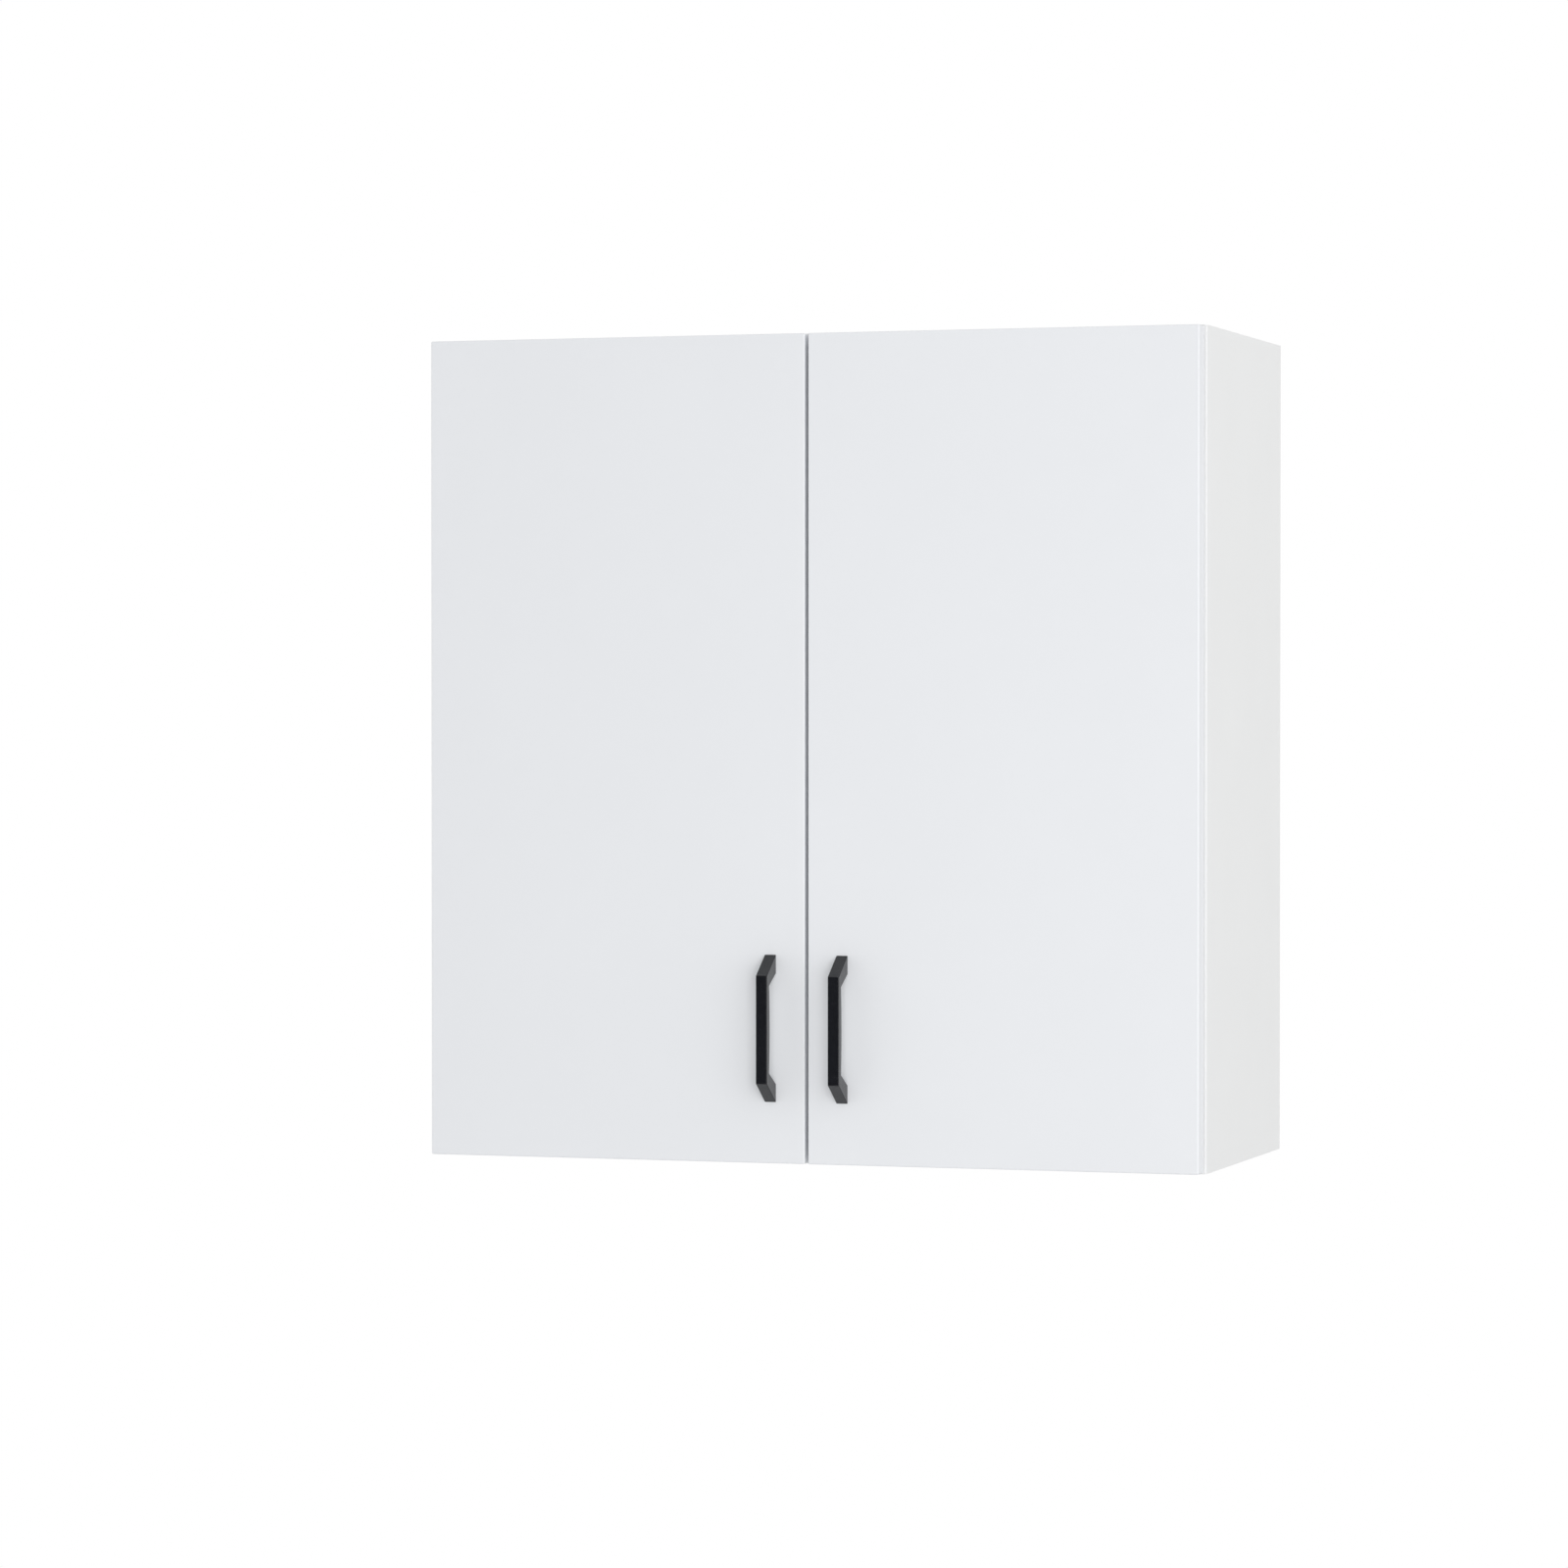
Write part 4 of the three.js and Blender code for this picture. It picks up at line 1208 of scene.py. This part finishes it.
def make_mounting_plate(side_name, side, level):
    node = f"{side_name}_hinge_{level}_plate"
    low, high = box(node)
    z = (low.z + high.z) / 2
    line = CARCASS_FRONT + HINGE_SCREW_LINE
    near = high.x if side > 0 else low.x
    base_top = near - side * PLATE_BASE
    lift = Vector((base_top - near, 0, 0))
    along_y, along_z = Vector((0, 1, 0)), Vector((0, 0, 1))
    reach = (high.y - low.y) / 2
    base_middle = Vector((near, (low.y + high.y) / 2, z))
    base = solid_of(stadium(base_middle, reach, PLATE_END_RADIUS, along_y, along_z), lift)
    plate = make_object(f"{side_name}_{level}_cross_plate", base, [NICKEL])
    wing_half = (high.z - low.z) / 2
    wings = stadium(Vector((near, line, z)), wing_half, PLATE_WING_RADIUS, along_z, along_y)
    spine_top = low.x if side > 0 else high.x
    spine = block_of(
        (base_top + side * PLATE_SINK, line + PLATE_SPINE[0], z - PLATE_SPINE_HALF),
        (spine_top, line + PLATE_SPINE[1], z + PLATE_SPINE_HALF),
    )
    join_all(plate, [solid_of(wings, lift), spine])
    window = block_of(
        (base_top - side * PLATE_WINDOW_LIFT, line + PLATE_WINDOW[0], z - PLATE_WINDOW_HALF),
        (spine_top + side * PLATE_WINDOW_ROOF, line + PLATE_WINDOW[1], z + PLATE_WINDOW_HALF),
    )
    start, end = near + side * PAST, base_top - side * PAST
    cut_all(plate, [window] + [
        rod_of((start, y, seat_z), (end, y, seat_z), PLATE_SEAT_RADIUS, 28)
        for y, seat_z in plate_screw_places(side_name, level)
    ])
    soften(plate, EDGE_SOFTNESS)
    place(plate, "cabinet", "nickel", node)
    length = PLATE_PILOT_DEPTH + abs(lift.x) - MM
    for number, (y, screw_z) in enumerate(plate_screw_places(side_name, level), 1):
        name = f"{side_name}_{level}_plate_screw_{number}"
        make_wood_screw(name, (base_top, y, screw_z), "x", -side, length, "cabinet")


for side_name, side in SIDES.items():
    arm_outer = joint_place(f"{side_name}_outer_link_turn")
    arm_inner = joint_place(f"{side_name}_inner_link_turn")
    cup_outer = joint_place(f"{side_name}_door_swing")
    for level in LEVELS:
        make_hinge_cup(side_name, side, level)
        make_hinge_arm(side_name, side, level)
        make_mounting_plate(side_name, side, level)
        cup_inner = cup_inner_pivot(side_name, side, level)
        outer_ends, inner_ends = (arm_outer, cup_outer), (arm_inner, cup_inner)
        make_link(side_name, level, "outer", outer_ends, -side * LINK_BOW, outer_ends)
        make_link(side_name, level, "inner", inner_ends, 0, inner_ends[:1])

# -------- hanging hooks

HOOK_POCKET_WALL = 2 * MM
HOOK_THICKNESS = 2.5 * MM
HOOK_BEND = 2 * MM
HOOK_LIP = 18 * MM
HOOK_EDGE_RADIUS = 0.35 * MM
POCKET_PLAY = 0.6 * MM
POCKET_FLOOR = 6 * MM
DRIVER_HOLE_RADIUS = 2.2 * MM
HOUSING_EDGE_RADIUS = 0.6 * MM
HANGER_SCREW_LENGTH = 2.1 * MM


def make_hanger_bracket(side_name):
    node = f"{side_name}_hanger_bracket"
    hook_low, hook_high = box(f"{side_name}_hanger_hook")
    low, high = box(node)
    bracket = make_object(f"{side_name}_hanger_housing", block_of(low, high), [ZINC])
    pocket = block_of(
        (hook_low.x - POCKET_PLAY, low.y + HOOK_POCKET_WALL, low.z + POCKET_FLOOR),
        (hook_high.x + POCKET_PLAY, high.y + PAST, high.z + PAST),
    )
    middle = (low + high) / 2
    start = (middle.x, low.y - PAST, middle.z)
    end = (middle.x, low.y + HOOK_POCKET_WALL + PAST, middle.z)
    cut_all(bracket, [pocket, rod_of(start, end, DRIVER_HOLE_RADIUS, 28)])
    soften(bracket, HOUSING_EDGE_RADIUS, 3)
    place(bracket, "cabinet", "zinc", node)
    name = f"{side_name}_hanger_adjuster"
    seat = (middle.x, low.y, middle.z)
    make_wood_screw(name, seat, "y", -1, HANGER_SCREW_LENGTH, "cabinet")


def make_hanger_hook(side_name):
    """A bent steel strip: up the pocket, over to the rear, and down to the lip."""
    node = f"{side_name}_hanger_hook"
    low, high = box(node)
    front, rear, crest = low.y, high.y, high.z
    inner_front, inner_rear = front + HOOK_THICKNESS, rear - HOOK_THICKNESS

    def at(y, z):
        return Vector((low.x, y, z))

    def bend(y, start, end):
        axes = (Vector((0, 1, 0)), Vector((0, 0, 1)))
        return arc_points(at(y, crest - HOOK_BEND), HOOK_BEND, start, end, 6, *axes)

    outline = [
        at(front, low.z),
        *bend(front + HOOK_BEND, 180, 90),
        *bend(rear - HOOK_BEND, 90, 0),
        at(rear, crest - HOOK_LIP),
        at(inner_rear, crest - HOOK_LIP),
        at(inner_rear, crest - HOOK_THICKNESS),
        at(inner_front, crest - HOOK_THICKNESS),
        at(inner_front, low.z),
    ]
    strip = solid_of(outline, Vector((high.x - low.x, 0, 0)))
    hook = make_object(f"{side_name}_wall_hook", strip, [NICKEL])
    soften(hook, HOOK_EDGE_RADIUS, 3)
    place(hook, "cabinet", "nickel", node)


for side_name in SIDES:
    make_hanger_bracket(side_name)
    make_hanger_hook(side_name)

# -------- floor and light

FLOOR_BELOW = 1.4
FLOOR_RADIUS = 5.0
FLOOR_TONE = (0.74, 0.74, 0.74)
ROOM_LIGHT = 0.80
BRIGHT_LIGHT = 1.42
BRIGHT_DIRECTION = Vector((0.95, -0.30, 0)).normalized()
DIM_SHARE = 0.04
DIM_DIRECTION = Vector((-0.32, -0.95, 0)).normalized()
DIM_EDGE = math.radians(26)
DIM_CORE = math.radians(11)
KEY_FROM_DOORS = Vector((1.03, -2.82, -0.15))
KEY_SIZE = 1.6
KEY_POWER = 28


def add_floor():
    m = Nodes("pale_floor")
    m.colour(m.ramp(m.noise(0.5, detail=3), tones(FLOOR_TONE, 0.01)))
    m.rough(m.noise(0.05, detail=3), 0.6, 0.75)
    mesh = bmesh.new()
    bmesh.ops.create_circle(mesh, cap_ends=True, segments=96, radius=FLOOR_RADIUS)
    floor = make_object("floor", mesh, [m.material])
    floor.location = (0, 0, CARCASS_LOW.z - FLOOR_BELOW)


def add_key_light():
    """A soft square light beside the camera, aimed at the middle of the doors."""
    data = bpy.data.lights.new("key", "AREA")
    data.size = KEY_SIZE
    data.energy = KEY_POWER
    light = add_object("key", data)
    light.location = DOORS_MIDDLE + KEY_FROM_DOORS
    light.rotation_euler = (-KEY_FROM_DOORS).to_track_quat("-Z", "Y").to_euler()


def world_range(tree, source, start, end, low, high):
    """Maps a span of the source to the range low to high."""
    node = tree.nodes.new("ShaderNodeMapRange")
    node.interpolation_type = "SMOOTHSTEP"
    for name, value in zip(("From Min", "From Max", "To Min", "To Max"), (start, end, low, high)):
        node.inputs[name].default_value = value
    tree.links.new(source, node.inputs["Value"])
    return node.outputs["Result"]


def world_facing(tree, direction):
    """The cosine between a world ray and the wanted direction."""
    facing = tree.nodes.new("ShaderNodeVectorMath")
    facing.operation = "DOT_PRODUCT"
    facing.inputs[1].default_value = direction
    tree.links.new(tree.nodes.new("ShaderNodeTexCoord").outputs["Generated"], facing.inputs[0])
    return facing.outputs["Value"]


def set_world():
    """White room, brightest on the right and dim front left; the camera sees it plain white."""
    world = bpy.data.worlds.new("studio")
    bpy.context.scene.world = world
    world.use_nodes = True
    tree = world.node_tree
    tree.nodes.clear()
    link = tree.links.new
    output = tree.nodes.new("ShaderNodeOutputWorld")
    mix = tree.nodes.new("ShaderNodeMixShader")
    rays = tree.nodes.new("ShaderNodeLightPath")
    room = tree.nodes.new("ShaderNodeBackground")
    backdrop = tree.nodes.new("ShaderNodeBackground")
    backdrop.inputs["Color"].default_value = (1, 1, 1, 1)
    bright_facing = world_facing(tree, BRIGHT_DIRECTION)
    bright = world_range(tree, bright_facing, 0, 1, ROOM_LIGHT, BRIGHT_LIGHT)
    dim_facing = world_facing(tree, DIM_DIRECTION)
    dim = world_range(tree, dim_facing, math.cos(DIM_EDGE), math.cos(DIM_CORE), 1, DIM_SHARE)
    product = tree.nodes.new("ShaderNodeMath")
    product.operation = "MULTIPLY"
    link(bright, product.inputs[0])
    link(dim, product.inputs[1])
    link(product.outputs[0], room.inputs["Strength"])
    link(rays.outputs["Is Camera Ray"], mix.inputs["Fac"])
    link(room.outputs[0], mix.inputs[1])
    link(backdrop.outputs[0], mix.inputs[2])
    link(mix.outputs[0], output.inputs["Surface"])


add_floor()
set_world()
add_key_light()

bpy.context.scene.view_settings.view_transform = "Standard"
